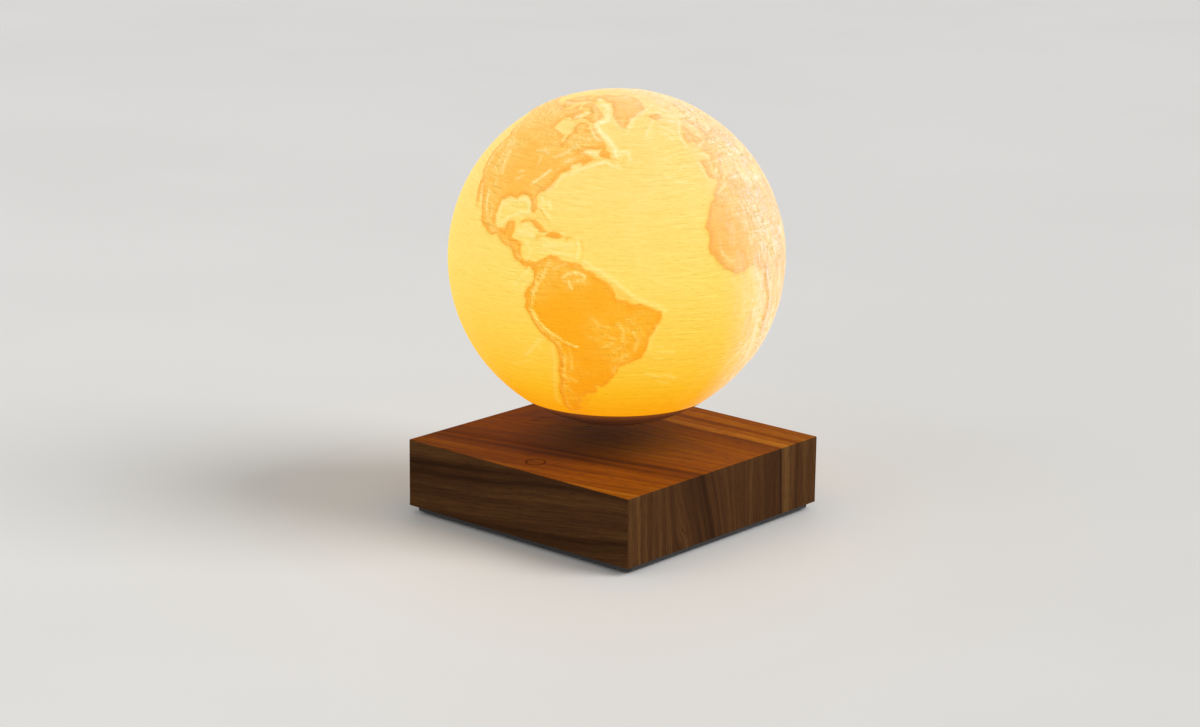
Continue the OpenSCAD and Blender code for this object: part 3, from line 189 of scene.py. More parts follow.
ISLANDS = [
    [(-87.5, 64), (-85.5, 66.3), (-82, 65.5), (-80, 63.6), (-84, 63)],
    [(-124, 71.4), (-122, 76), (-113, 78.6), (-104, 79.4), (-98, 76.6), (-92, 76.8),
     (-95, 74.4), (-103, 72.6), (-114, 72.6)],
    [(-61.5, 66.5), (-64, 63.5), (-66, 62.2), (-71.5, 63.5), (-77.5, 64.5), (-73, 67.5),
     (-78, 70), (-88, 71), (-89, 73.3), (-80.5, 73.5), (-74, 71.7), (-68, 70)],
    [(-118, 71), (-113, 69), (-105, 69), (-102, 70), (-106, 73), (-115, 73.3)],
    [(-90, 77), (-78, 76.5), (-75, 79), (-64, 82), (-70, 83), (-85, 82.3), (-92, 81)],
    [(-125, 72), (-121, 74.3), (-116, 73), (-122, 71.3)],
    [(-96, 76), (-80, 75.7), (-81, 74.6), (-92, 74.7)],
    [(-59.3, 47.8), (-57, 50.8), (-55.6, 51.5), (-56, 49.8), (-53.5, 49), (-53, 46.7),
     (-55.8, 46.9)],
    [(-84.9, 21.9), (-82.5, 23.1), (-80, 23), (-77, 21.7), (-74.2, 20.2), (-77.5, 19.9),
     (-78, 20.8), (-81.5, 22.1)],
    [(-74.4, 18.4), (-72.8, 19.9), (-70, 19.8), (-68.4, 18.6), (-71, 17.8)],
    [(-78.3, 18.3), (-76.2, 18.1), (-77.2, 17.8)],
    [(-67.2, 18.4), (-65.7, 18.4), (-66.5, 17.95)],
    [(-5.5, 50.1), (-3, 50.7), (1.3, 51.2), (1.7, 52.6), (0, 53.4), (-1.6, 55.3),
     (-2, 57.5), (-3.2, 58.6), (-5, 58.6), (-5.8, 56.5), (-4.9, 54.8), (-3, 54),
     (-4.3, 53.2), (-5, 51.8), (-3.3, 51.4)],
    [(-10, 51.7), (-6.3, 52.2), (-5.6, 54.6), (-7.5, 55.3), (-10, 54.1)],
    [(-22.5, 64), (-18.5, 63.4), (-13.8, 64.8), (-15, 66.4), (-21, 66), (-24, 65.5)],
    [(49.3, -12), (50.3, -15.7), (47.1, -25), (45, -25.4), (43.5, -22), (44.4, -19.8),
     (44, -17), (47.5, -15)],
    [(130.9, 34), (133, 35.5), (136.8, 37.2), (139.5, 38.5), (141.5, 41.3),
     (141.9, 39.3), (140.8, 35.7), (137, 34.6), (133.5, 34.3)],
    [(140, 42), (141.8, 45.4), (145.3, 43.3), (143, 42)],
    [(130, 33.2), (131.8, 33.5), (131, 31.3)],
    [(142, 46), (143.5, 49), (143.2, 52), (142.7, 54.3), (141.9, 50)],
    [(95.4, 5.6), (98.5, 4.2), (103.5, -0.5), (105.8, -3.2), (105.3, -5.8), (102.3, -4),
     (100, -0.5)],
    [(105.5, -6.8), (108.5, -6.6), (112.6, -6.9), (114.4, -8.5), (108.5, -7.8)],
    [(109.2, 1.5), (113, 3.2), (116.7, 6.9), (119, 5), (117.8, 1), (116.3, -3.9),
     (112, -3.4), (110, -1.2)],
    [(119, -3), (120, 1), (125, 1.5), (121, 0.5), (121.3, -1), (123, -1), (121.5, -2.5),
     (122.5, -5), (120.5, -3), (120, -5.5)],
    [(131, -0.8), (134.2, -0.9), (135, -3.3), (138, -1.7), (144.5, -3.9), (147.8, -6),
     (150.6, -10.5), (147, -9.5), (143, -9.2), (138, -8.3), (135.5, -4.5),
     (132.8, -3.8)],
    [(120.3, 16), (122.2, 18.4), (121.6, 14.2), (124, 12.8), (120.5, 14)],
    [(122, 7), (125.5, 9.7), (126.3, 7), (125.4, 5.8)],
    [(79.8, 8), (81.8, 7.5), (80.5, 6)],
    [(144.8, -40.8), (148.2, -40.9), (147.5, -43.3), (146, -43.5)],
    [(172.8, -34.5), (175.5, -37), (178.4, -37.8), (176.9, -39.6), (175, -41.5),
     (173.9, -39.3)],
    [(172.8, -40.6), (174.2, -41.8), (170.8, -45.5), (168.5, -46.6), (166.7, -45.8),
     (170, -43)],
]
LAKES = [
    [(47, 45), (51, 46.5), (53, 45), (51, 43), (54, 40), (53.5, 37), (49.5, 37.5),
     (49.5, 41), (47.5, 43)],
    [(32, 0), (33.5, 0.3), (33.5, -2), (32, -2.5)],
]
LANDS = [NORTH_AMERICA, SOUTH_AMERICA, GREENLAND, AFRICA, EURASIA, AUSTRALIA] + ISLANDS

# Mountain chains: width in mm on the globe, height from 0 to 1, then the crest line
CHAINS = [
    (1.5, 1.0, [(-72, 10), (-75, 5), (-78, 0), (-78.2, -6), (-74.5, -12), (-69.5, -17),
                (-68, -23), (-69.5, -30), (-70.8, -36), (-71.8, -42), (-73, -48),
                (-72, -52), (-69, -54)]),
    (1.2, 0.7, [(-66, -18), (-65.5, -24), (-67, -29)]),
    (2.2, 0.8, [(-152, 63), (-145, 63), (-135, 60), (-127, 55), (-120, 50), (-114, 46),
                (-108, 41), (-106, 36), (-105, 31)]),
    (1.4, 0.7, [(-122, 48), (-121, 43), (-119, 37), (-116, 33)]),
    (1.8, 0.8, [(-108, 31), (-105, 25), (-101, 20), (-97, 17.5), (-92, 15.5),
                (-86, 13), (-83.5, 9.5)]),
    (1.1, 0.6, [(-86, 34), (-81, 37.5), (-77, 41)]),
    (1.4, 0.4, [(-74, 44), (-70, 46), (-66, 48)]),
    (1.8, 0.5, [(-72, 50), (-66, 54), (-64, 58)]),
    (1.8, 0.6, [(-66, 64), (-70, 68), (-77, 72)]),
    (2.2, 0.5, [(-51, -27), (-47, -22), (-43, -18), (-42, -13)]),
    (1.6, 0.3, [(-56, -15), (-50, -16)]),
    (1.5, 0.6, [(-66, 2), (-62, 4.5), (-59, 4)]),
    (1.6, 0.7, [(-8, 31), (-3, 33.5), (3, 35.5), (9, 36)]),
    (2.6, 0.6, [(3, 22), (8, 24), (12, 21), (18, 20)]),
    (2.6, 0.8, [(36, 5), (39, 9), (38, 14)]),
    (2.4, 0.6, [(37, 1), (34, -3), (29, -3), (33, -11), (30, -19)]),
    (2.2, 0.6, [(16, -12), (16, -20), (18, -27), (24, -32), (28.5, -30), (31, -26)]),
    (1.4, 0.5, [(9, 5.5), (12, 8)]),
    (1.4, 0.5, [(-12, 10), (-9, 8)]),
    (1.6, 0.9, [(6, 45), (10, 46.5), (15, 47)]),
    (1.2, 0.6, [(-1, 43), (2, 42.5)]),
    (1.8, 0.4, [(-7, 41), (-4, 40), (-3, 38)]),
    (1.4, 0.5, [(19, 49), (25, 47.5), (25, 45.5)]),
    (1.7, 0.8, [(6.5, 60), (10, 63), (15, 67), (20, 69)]),
    (1.4, 0.9, [(38, 44), (48, 41.5)]),
    (2.0, 0.7, [(32, 38), (42, 39), (47, 36), (52, 31), (57, 28)]),
    (1.4, 0.6, [(59, 52), (60, 60), (65, 67)]),
    (1.8, 1.0, [(70, 36), (76, 33.5), (84, 28.7), (92, 28), (97, 28)]),
    (3.4, 0.9, [(76, 36), (84, 33), (92, 33), (100, 32)]),
    (1.8, 0.8, [(71, 42), (78, 42), (86, 43)]),
    (2.2, 0.7, [(86, 49), (92, 48), (98, 51), (106, 52), (116, 56), (126, 56),
                (135, 60)]),
    (2.0, 0.6, [(128, 70), (131, 65), (140, 62), (150, 62), (160, 65), (170, 67)]),
    (1.2, 0.7, [(158, 54), (161, 58)]),
    (1.0, 0.8, [(134, 35), (137, 36), (140, 39)]),
    (1.6, 0.5, [(98, 26), (98, 18)]),
    (1.4, 0.5, [(104, 21), (107, 15)]),
    (1.0, 0.7, [(97, 4), (100, 0), (103, -4)]),
    (1.4, 0.6, [(111, 1), (116, 4)]),
    (1.3, 0.9, [(134, -3.8), (141, -5), (147, -8)]),
    (1.5, 0.6, [(145, -17), (149, -23), (151.5, -29), (149, -35), (146.5, -37.5)]),
    (1.6, 0.3, [(119, -22), (128, -24), (134, -24)]),
    (1.1, 0.9, [(167.5, -45), (172, -42.5)]),
]
# Ridges on the sea floor, in the same form
SEA_RIDGES = [
    (3.2, 0.9, [(-20, 66), (-28, 60), (-33, 53), (-30, 48), (-28, 42), (-34, 37),
                (-42, 30), (-46, 24), (-45, 16), (-40, 9), (-33, 2), (-20, -1),
                (-14, -6), (-14, -15), (-13, -25), (-14, -35), (-16, -45), (-10, -53)]),
    (2.6, 0.6, [(-24, 54), (-16, 57), (-12, 62), (-8, 63)]),
    (2.2, 0.8, [(-15, 39), (-20, 37), (-27, 38)]),
    (2.0, 0.7, [(-18, 28), (-20, 32), (-24, 16), (-25, 14)]),
    (1.0, 0.8, [(-75, -15), (-79, -19), (-84, -24)]),
    (1.2, 0.6, [(-76, -46), (-85, -42), (-95, -37), (-108, -35)]),
    (2.4, 0.6, [(-108, 20), (-105, 8), (-110, -8), (-113, -25), (-111, -40),
                (-118, -52)]),
    (1.6, 0.5, [(-81, 1), (-88, 0), (-92, -1)]),
    (1.2, 0.6, [(-64, 33), (-62, 30)]),
    (1.8, 0.6, [(-39, -30), (-30, -31), (-24, -32)]),
    (1.4, 0.6, [(8, -22), (2, -28), (-8, -36)]),
    (2.6, 0.6, [(58, 12), (64, 0), (67, -10), (69, -25), (55, -32), (38, -44)]),
    (2.6, 0.6, [(69, -25), (80, -38), (100, -47), (120, -50), (145, -52)]),
    (1.4, 0.7, [(88, 8), (88, -8), (88, -28)]),
    (1.4, 0.7, [(-156, 20), (-165, 24), (-178, 30), (172, 38), (168, 48)]),
    (1.6, 0.5, [(143, 30), (146, 18), (140, 8)]),
]

# Shallow seas, which stand between the deep sea and the land
SHALLOWS = [
    [(-125, 68), (-118, 76), (-95, 81), (-78, 78), (-66, 67), (-65, 61), (-78, 60),
     (-86, 65), (-95, 66)],
    [(-56, 52), (-50, 49), (-49, 44), (-54, 43.5), (-66, 42), (-62, 49)],
    [(-83.5, 29.5), (-80, 29), (-76, 26.5), (-73.5, 22), (-77, 23), (-81, 24.5),
     (-83.5, 25.5)],
    [(-92.5, 19), (-92, 22.5), (-89, 23.5), (-87, 22), (-89.5, 20)],
    [(-62, -39), (-57, -40), (-61, -44), (-63, -48), (-60, -51), (-62, -54), (-68, -53),
     (-68, -46)],
    [(-52, 5), (-47, 3), (-44, -1), (-50, 0)],
    [(-11, 51), (-9, 56), (-5, 60), (2, 61), (5, 57), (8, 55), (2, 51), (-4, 47.5)],
    [(18, 71), (18, 76), (35, 80), (60, 80), (66, 71), (45, 68), (30, 71)],
    [(66, 73), (90, 79), (130, 77), (160, 75), (180, 71), (150, 71), (110, 73)],
    [(-180, 66), (-178, 62), (-170, 57), (-162, 56), (-158, 59), (-166, 66)],
    [(103, 8), (109, 6), (113, 4), (117, -3), (113, -7), (106, -5), (103, 0)],
    [(124, -14), (130, -9), (138, -8), (142, -10), (141, -16), (130, -12)],
    [(119, 38), (124, 33), (122, 27), (117, 23), (120, 32)],
    [(-26, 67), (-10, 65), (-3, 61), (-8, 61), (-26, 63)],
]
# Places where the land is smooth: longitude, latitude and radius in mm
PLAINS = [
    (-66, -4, 10), (-56, -2, 9), (-60, -24, 6), (-61, -33, 6), (-42, 74, 13), (-9, 21, 8),
    (-6, 14, 7), (-92, 33, 6), (-97, 38, 6), (-88, 41, 6), (20, -1, 8), (26, 27, 7),
    (70, 61, 10), (45, 52, 9), (132, -28, 9), (-95, 47, 6),
]
# Places where the land stands high and glows paler
HIGHLANDS = [
    (-112, 46, 8), (-108, 38, 6), (-104, 27, 4), (-120, 56, 9), (-74, 52, 8),
    (-90, 48, 7), (-112, 64, 9), (-72, 68, 6), (-45, -12, 8), (-50, -19, 8), (-55, -11, 6),
    (-63, 4, 4), (-68, -42, 5), (-68, -22, 3), (12, 22, 16), (22, 8, 14), (24, -24, 12),
    (8, 48, 9), (-4, 40, 5), (36, 8, 9), (44, 36, 9), (88, 34, 14), (110, 50, 14),
    (150, -28, 7),
]
# Places where the sea floor is rough
ROUGH_SEAS = [
    (-20, 46, 13), (-15, 58, 10), (-33, 55, 9), (-36, -25, 9), (-10, -25, 11), (-30, -34, 7),
    (-47, -29, 5), (-74, 17, 7), (-78, 27, 5), (-48, 47, 5), (-84, 4, 7), (0, 68, 10),
    (-66, 62, 8), (3, -22, 8), (-92, 25, 6), (140, 20, 14), (60, -10, 12), (-25, 6, 12),
    (-22, -10, 12), (-24, 24, 9), (-45, 6, 6),
]
# Thin lines that glow paler or, where negative, darker: width in mm, strength, line
STREAKS = [
    # Round the Gulf of Mexico, the Bahamas and the Caribbean
    (1.0, 0.9, [(-89, 28.6), (-86, 29.2), (-84, 28.3), (-83.3, 25.4)]),
    (0.8, 0.9, [(-83.6, 25), (-87, 24.6), (-91, 22.4), (-93.6, 20.2), (-95.6, 19.8)]),
    (0.8, 0.6, [(-96.2, 21), (-96.8, 24.5), (-96.6, 27.3), (-93, 28.4), (-89, 28.4)]),
    (1.2, 0.5, [(-95, 26.6), (-93.5, 27)]),
    (0.8, 0.7, [(-79.6, 30.5), (-78, 29), (-76.3, 29.4), (-75, 27.5)]),
    (0.7, 0.6, [(-79.3, 27.6), (-76.8, 26), (-74.8, 24)]),
    (0.5, -0.6, [(-78.8, 26.6), (-77, 25), (-74.6, 23)]),
    (1.4, 0.8, [(-85.5, 18.2), (-82, 18.6), (-79.5, 17.8)]),
    (0.7, 0.7, [(-84.5, 20.8), (-81, 20.4), (-78.5, 19.5)]),
    (1.5, 0.7, [(-75, 15.4), (-70, 15.6), (-65.5, 15.4)]),
    (0.8, 0.7, [(-76.5, 13), (-72, 13.4), (-67, 12.8), (-64, 12.4)]),
    (0.7, 0.8, [(-63.2, 12), (-62.9, 15), (-63.3, 17.8)]),
    (0.5, -0.5, [(-61.4, 12), (-61.1, 15), (-62, 17.6), (-66, 18.2), (-68.5, 18.3)]),
    (0.5, -0.6, [(-74, 20.4), (-70, 20.5), (-66, 20), (-61.5, 20.4)]),
    (0.6, -0.5, [(-78.3, 18.2), (-76.4, 18)]),
    (0.7, 0.5, [(-82, 15.6), (-79.6, 12.6), (-80.6, 10.6)]),
    # Off South America
    (1.0, 0.8, [(-61, 11.4), (-57.5, 9), (-54, 7.4), (-51, 5.4), (-48, 3), (-44.5, 0.2),
                (-41, -1.6), (-37, -3), (-33.8, -5.2)]),
    (0.7, 0.5, [(-36, -10), (-38, -16), (-38.6, -21)]),
    (0.7, 0.7, [(-85, 1), (-82, 4), (-79.6, 6.8)]),
    (0.6, 0.6, [(-82.8, -0.6), (-80.6, 2.4), (-78.8, 3.6)]),
    (0.5, -0.5, [(-92, -1.6), (-87.5, -1.8)]),
    (0.8, 0.9, [(-75, -15.6), (-78, -18), (-81, -21.4), (-84, -24)]),
    (0.5, 0.6, [(-78.4, -17.4), (-77, -20.4)]),
    (0.6, 0.5, [(-92, -29), (-87, -27.8), (-82, -25.6)]),
    (1.0, 0.6, [(-72, -19.6), (-72.4, -26), (-73.6, -32), (-76, -40), (-78, -47)]),
    (0.7, 0.7, [(-39, -20.4), (-34, -20.1), (-29.5, -20.4)]),
    (0.5, 0.5, [(-37.6, -17.8), (-33.6, -18)]),
    (0.5, 0.5, [(-36, -22.6), (-31, -22.2)]),
    (0.9, 0.7, [(-38, -29), (-34, -30.6), (-30, -30.2), (-26.4, -32)]),
    (0.6, 0.6, [(-33, -33), (-28.6, -34.2)]),
    (0.6, -0.4, [(-36, -31.6), (-31, -32)]),
    # Off North America
    (0.8, 0.6, [(-78, 33), (-75, 36.2), (-73, 38.8), (-69, 40.4)]),
    (0.9, 0.9, [(-69.5, 40.3), (-65.5, 42), (-60, 43.8), (-56, 45.3)]),
    (0.7, 0.8, [(-70, 42.6), (-66.8, 43.4)]),
    (1.1, 0.9, [(-65.4, 48.8), (-62.6, 48.7), (-60.4, 48)]),
    (0.8, 0.8, [(-55, 45), (-52.6, 43.4), (-49.6, 43.2)]),
    (0.5, -0.5, [(-51, 46.4), (-48, 45), (-46.6, 47), (-43.6, 47.4)]),
    (1.0, 0.8, [(-50.4, 48), (-47.6, 49), (-45, 48.8), (-44.2, 46.4)]),
    (1.2, 1.0, [(-64.6, 61.6), (-62, 58.6), (-58.4, 56.2), (-55.2, 54.2), (-53, 52.2),
                (-51, 50), (-50.6, 47.6)]),
    (1.6, 1.0, [(-69, 73.6), (-64, 73.4), (-60, 70.6), (-58.4, 67), (-58.6, 64),
                (-62, 62.6)]),
    (1.0, 0.6, [(-54, 65.6), (-51.6, 62.8), (-48.4, 60.2), (-44, 59), (-41.4, 61.4),
                (-39, 64.4), (-33, 67), (-26, 68.8)]),
    (1.0, 0.7, [(-83, 64), (-80.4, 65.6), (-77, 67.4)]),
    (1.0, 0.8, [(-80, 77), (-74, 76.4)]),
    (0.9, 0.5, [(-115, 71), (-105, 71.5), (-96, 73.5), (-88, 74.3)]),
    # North-east Atlantic
    (0.6, 0.7, [(-24, 63.4), (-28, 60.6), (-33, 56.6)]),
    (0.6, 0.7, [(-21, 60.6), (-17, 58.4), (-15, 56)]),
    (0.6, 0.6, [(-24, 57.6), (-20, 56), (-18.4, 53.4)]),
    (0.7, 0.7, [(-8, 61.6), (-12, 62.8), (-17, 63)]),
    (0.8, 0.8, [(-12.4, 50.4), (-12.6, 53.4), (-10.8, 56.6), (-7.6, 59), (-3, 61)]),
    (0.7, 0.7, [(-5.4, 49.5), (-1.4, 50.2), (1.4, 51.2)]),
    (1.0, 0.7, [(1, 53.6), (3, 56.4), (1.6, 59)]),
    (0.8, 0.6, [(-8.6, 47.4), (-5.4, 45.8), (-3.4, 44.2)]),
    (0.7, 0.6, [(-10.6, 43.6), (-10.7, 40), (-10, 36.8), (-7.6, 36)]),
    (0.7, 0.7, [(-30, 66.6), (-24, 69.4), (-16, 71.6), (-8, 73)]),
    (0.7, 0.7, [(-24, 67.6), (-15, 67.8), (-8, 66.4), (-2, 64.4)]),
    (0.8, 0.7, [(-6, 69), (0, 67), (4, 63.6)]),
    (0.6, -0.4, [(-14, 69.6), (-4, 70.4), (4, 70)]),
    (0.6, 0.5, [(-28, 45.4), (-24, 47), (-20, 47.4)]),
    (0.6, 0.5, [(-23, 41), (-19.4, 42.6), (-15.6, 42.8)]),
    (0.6, 0.5, [(-26, 37.6), (-20, 36.4), (-15, 35)]),
    (0.6, 0.5, [(-29.6, 39.4), (-27.4, 38.4)]),
    # Off Africa
    (1.8, 0.7, [(4, 3.4), (6, -1), (7, -7), (7.4, -14), (8.6, -20), (11, -27)]),
    (0.7, 0.7, [(9, -20), (5, -23), (1.6, -26.6), (-2.6, -31)]),
    (0.6, -0.4, [(6.6, -19.6), (3, -22), (-0.4, -25.6)]),
    (0.8, -0.8, [(8.8, 1.6), (9.6, -2.2), (11.8, -5.6), (13, -9.6), (12.6, -15)]),
    # On the land of South America
    (0.5, 1.0, [(-78, -7), (-76, -10.4), (-73.4, -12.7), (-70, -14.6), (-67.4, -16.5),
                (-64.4, -17.6), (-62.8, -17.9)]),
    (0.4, 0.6, [(-79, -6), (-77.4, -10), (-75, -13.1), (-72.4, -15.3), (-69.4, -17.8)]),
    (0.5, 0.6, [(-73, 7.6), (-74.4, 4.4), (-76.4, 1.6), (-78, -1)]),
    (0.4, 0.5, [(-75.6, 6.4), (-77, 2.4)]),
    (0.4, 0.4, [(-72, 9), (-70, 8.2), (-66.6, 9.9)]),
    (0.6, 1.0, [(-67.4, 5.2), (-66, 6.5), (-64, 7.3), (-61.6, 7.2), (-60.2, 6.2), (-60.8, 4.8)]),
    (0.5, 0.8, [(-66.6, 4), (-65, 4.5), (-64.4, 2)]),
    (0.5, 0.7, [(-62.6, 4.6), (-60.4, 3.9)]),
    (0.5, 0.6, [(-68.6, -22.4), (-68, -25), (-68.7, -28)]),
    (0.5, 0.6, [(-66, -24), (-65.6, -27.4)]),
    (0.7, 0.6, [(-69.6, -30), (-68, -33)]),
    (0.6, 0.6, [(-67, -31.4), (-65, -32.8)]),
    (0.6, 0.5, [(-69.6, -35), (-68.6, -38.6)]),
    (0.6, 0.3, [(-57.6, -7.4), (-56, -9)]),
    (0.6, 0.35, [(-55.6, -10), (-52.4, -10.2)]),
    (0.6, 0.35, [(-59, -13.8), (-56.4, -15), (-53, -13.6), (-50, -14.6)]),
    (0.7, 0.4, [(-49, -9), (-47, -12), (-47.6, -15.4)]),
    (0.6, 0.35, [(-46, -7.4), (-43.6, -9.6)]),
    (0.6, 0.4, [(-44, -12), (-42.4, -15.4), (-43.4, -19)]),
    (0.6, 0.35, [(-47, -16.4), (-49, -18.6)]),
    (0.6, 0.5, [(-51, -16), (-54, -17.6)]),
    (0.6, 0.4, [(-46, -20.4), (-48.6, -22), (-51, -23.2)]),
    (0.6, 0.5, [(-49.6, -25), (-50.4, -28.4)]),
    (0.6, -0.6, [(-37.4, -6.6), (-40.4, -7.4), (-41, -10)]),
    # On the land of North America
    (0.6, 1.0, [(-85.4, 35), (-83, 36.7), (-80.6, 39.2), (-79.6, 40.3)]),
    (0.6, -0.6, [(-84.2, 34), (-81.4, 36.2), (-79, 38.6), (-77.6, 40)]),
    (0.5, 0.5, [(-94.4, 35.4), (-92.4, 36.5)]),
    (0.5, 0.5, [(-95, 38), (-93, 38.6)]),
    (0.6, 0.5, [(-74.4, 43.6), (-72, 45.2), (-69.6, 46)]),
    (0.6, 0.5, [(-80.6, 45.4), (-77, 46.6), (-74, 48.6), (-72, 51.4)]),
    (0.6, 0.6, [(-66.6, 58.6), (-64.6, 56.6), (-62.4, 54.8), (-59.6, 53.6)]),
    (0.6, 0.5, [(-92, 46.8), (-87.6, 47.4), (-84.4, 46.4)]),
    (0.5, 0.4, [(-87.2, 42), (-87, 45)]),
    (0.6, 0.5, [(-107, 29.4), (-105, 25.6), (-103.4, 23)]),
    (0.5, 0.5, [(-101.4, 25), (-100, 21.6)]),
    (0.7, 0.6, [(-113.4, 30.6), (-110.6, 27), (-108, 23.8)]),
    (0.6, 0.5, [(-104, 36), (-106.4, 40), (-109, 44.6), (-113.6, 49)]),
    (0.6, -0.4, [(-102.4, 36), (-104.6, 40.4), (-107.4, 45)]),
    (0.6, 0.5, [(-118, 37.4), (-120.6, 41), (-120, 45)]),
    (0.5, 0.4, [(-112, 36.6), (-111.4, 40.4), (-113, 43)]),
    # On the land of Europe and Africa
    (0.6, 0.6, [(-6.6, 42.8), (-3.4, 42.4), (0, 42.4)]),
    (0.6, 0.6, [(-6, 38.4), (-3, 39.6), (-1.4, 41)]),
    (0.6, -0.5, [(-8, 38), (-7.6, 41.4)]),
    (0.6, 0.7, [(-8, 31.4), (-4.4, 33.2), (0, 35), (5, 36)]),
    (0.6, 0.6, [(-12.8, 12.4), (-10.6, 9.8), (-8, 8.6)]),
    (0.6, 0.6, [(0.6, 29), (2.4, 24), (1.4, 19), (2, 13)]),
    (0.6, 0.7, [(4, 27), (5, 22.6), (7, 19), (6, 14)]),
    (0.6, 0.6, [(8.6, 24), (9.6, 18), (8.4, 12), (9, 7)]),
    (0.6, 0.8, [(10.6, 1), (12.6, -4), (14.6, -9), (15, -16), (16.6, -24)]),
]


# The map

def wrapped(lon, centre):
    """Longitudes within half a turn of centre."""
    return centre + (lon - centre + 180.0) % 360.0 - 180.0


def box_of(points):
    values = np.array(points, float)
    return values.min(0), values.max(0)


def near(lon, lat, points, margin):
    """Places that may lie within margin degrees of the points' box."""
    low, high = box_of(points)
    here = wrapped(lon, (low[0] + high[0]) / 2)
    reach = margin / np.maximum(np.cos(np.radians(lat)), 0.05)
    return ((here > low[0] - reach) & (here < high[0] + reach)
            & (lat > low[1] - margin) & (lat < high[1] + margin))


def line_distance(lon, lat, points, closed=False):
    """Distance in mm on the globe from each place to a line of points."""
    low, high = box_of(points)
    here = wrapped(lon, (low[0] + high[0]) / 2)
    per_degree = SEA_R / MM * math.pi / 180
    squeeze = np.cos(np.radians(lat))
    best = np.full(len(lon), 1e9)
    ends = points[1:] + points[:1] if closed else points[1:]
    for (lon_a, lat_a), (lon_b, lat_b) in zip(points, ends):
        ax = (lon_a - here) * squeeze
        bx = (lon_b - here) * squeeze
        dx, dy = bx - ax, lat_b - lat_a
        t = -(ax * dx + (lat_a - lat) * dy) / np.maximum(dx * dx + dy * dy, 1e-12)
        t = np.clip(t, 0, 1)
        best = np.minimum(best, np.hypot(ax + t * dx, lat_a - lat + t * dy))
    return best * per_degree


def inside(lon, lat, points):
    low, high = box_of(points)
    here = wrapped(lon, (low[0] + high[0]) / 2)
    odd = np.zeros(len(lon), bool)
    for (lon_a, lat_a), (lon_b, lat_b) in zip(points, points[1:] + points[:1]):
        if lat_a == lat_b:
            continue
        between = (lat_a > lat) != (lat_b > lat)
        crossing = lon_a + (lat - lat_a) * (lon_b - lon_a) / (lat_b - lat_a)
        odd ^= between & (here < crossing)
    return odd


def depth_in(lon, lat, points, margin):
    """Which places are near an outline, and how deep in mm they lie inside it."""
    close = near(lon, lat, points, margin)
    gap = line_distance(lon[close], lat[close], points, closed=True)
    return close, np.where(inside(lon[close], lat[close], points), gap, -gap)


def signed_coast(lon, lat):
    """Distance to the coast in mm, positive on land."""
    coast = np.full(len(lon), -COAST_REACH)
    for points in LANDS:
        close, depth = depth_in(lon, lat, points, 5.0)
        coast[close] = np.maximum(coast[close], np.clip(depth, -COAST_REACH, COAST_REACH))
    for points in LAKES:
        close, depth = depth_in(lon, lat, points, 5.0)
        coast[close] = np.minimum(coast[close], -depth)
    return coast


def line_strength(lon, lat, lines, spread=1.0, margin=6.0):
    """The strongest line at each place, where a line fades over its width."""
    total = np.zeros(len(lon))
    for width, strength, points in lines:
        close = near(lon, lat, points, margin)
        gap = line_distance(lon[close], lat[close], points)
        total[close] = np.maximum(total[close], strength * np.exp(-(gap / (width * spread)) ** 2))
    return total


def streak_strength(lon, lat):
    """From -1 for the darkest streaks to 1 for the palest."""
    paler = [streak for streak in STREAKS if streak[1] > 0]
    darker = [(width, -strength, points) for width, strength, points in STREAKS if strength < 0]
    return line_strength(lon, lat, paler, margin=4.0) - line_strength(lon, lat, darker, margin=4.0)


def spot_strength(lon, lat, spots):
    total = np.zeros(len(lon))
    for spot_lon, spot_lat, radius in spots:
        gap = line_distance(lon, lat, [(spot_lon, spot_lat)] * 2)
        total = np.maximum(total, np.exp(-(gap / radius) ** 2))
    return total


def lattice(cell, seed):
    """A repeatable random number from 0 to 1 for each whole-number cell."""
    mixed = cell[:, 0] * 374761393 + cell[:, 1] * 668265263 + cell[:, 2] * 974634777
    mixed = (mixed + seed * 1274126177) & 0xFFFFFFFF
    mixed = ((mixed ^ (mixed >> 13)) * 1274126177) & 0xFFFFFFFF
    return ((mixed ^ (mixed >> 16)) & 0xFFFF) / 65535.0


def soft_noise(places, seed):
    """Smooth noise from 0 to 1."""
    cell = np.floor(places).astype(np.int64)
    part = places - cell
    ease = part * part * (3 - 2 * part)
    total = np.zeros(len(places))
    for corner in range(8):
        step = np.array([corner & 1, corner >> 1 & 1, corner >> 2 & 1])
        weight = np.where(step, ease, 1 - ease).prod(1)
        total += weight * lattice(cell + step, seed)
    return total


def fractal(places, octaves, seed):
    total, share, whole = np.zeros(len(places)), 1.0, 0.0
    for octave in range(octaves):
        total += share * soft_noise(places * 2 ** octave, seed + octave)
        whole += share
        share *= 0.5
    return total / whole


def ridged(places, octaves, seed):
    return 1 - np.abs(2 * fractal(places, octaves, seed) - 1)


def step_up(value, low, high):
    t = np.clip((value - low) / (high - low), 0, 1)
    return t * t * (3 - 2 * t)


def shelf_depth(lon, lat, coast, directions):
    """1 on the shallow seas beside the land, 0 on the deep sea."""
    width = 0.5 + 1.3 * fractal(directions * 8, 2, 61)
    shelf = step_up(coast + width, -0.35, 0.35)
    for points in SHALLOWS:
        close, depth = depth_in(lon, lat, points, 4.0)
        shelf[close] = np.maximum(shelf[close], step_up(depth, -0.5, 0.6))
    return shelf


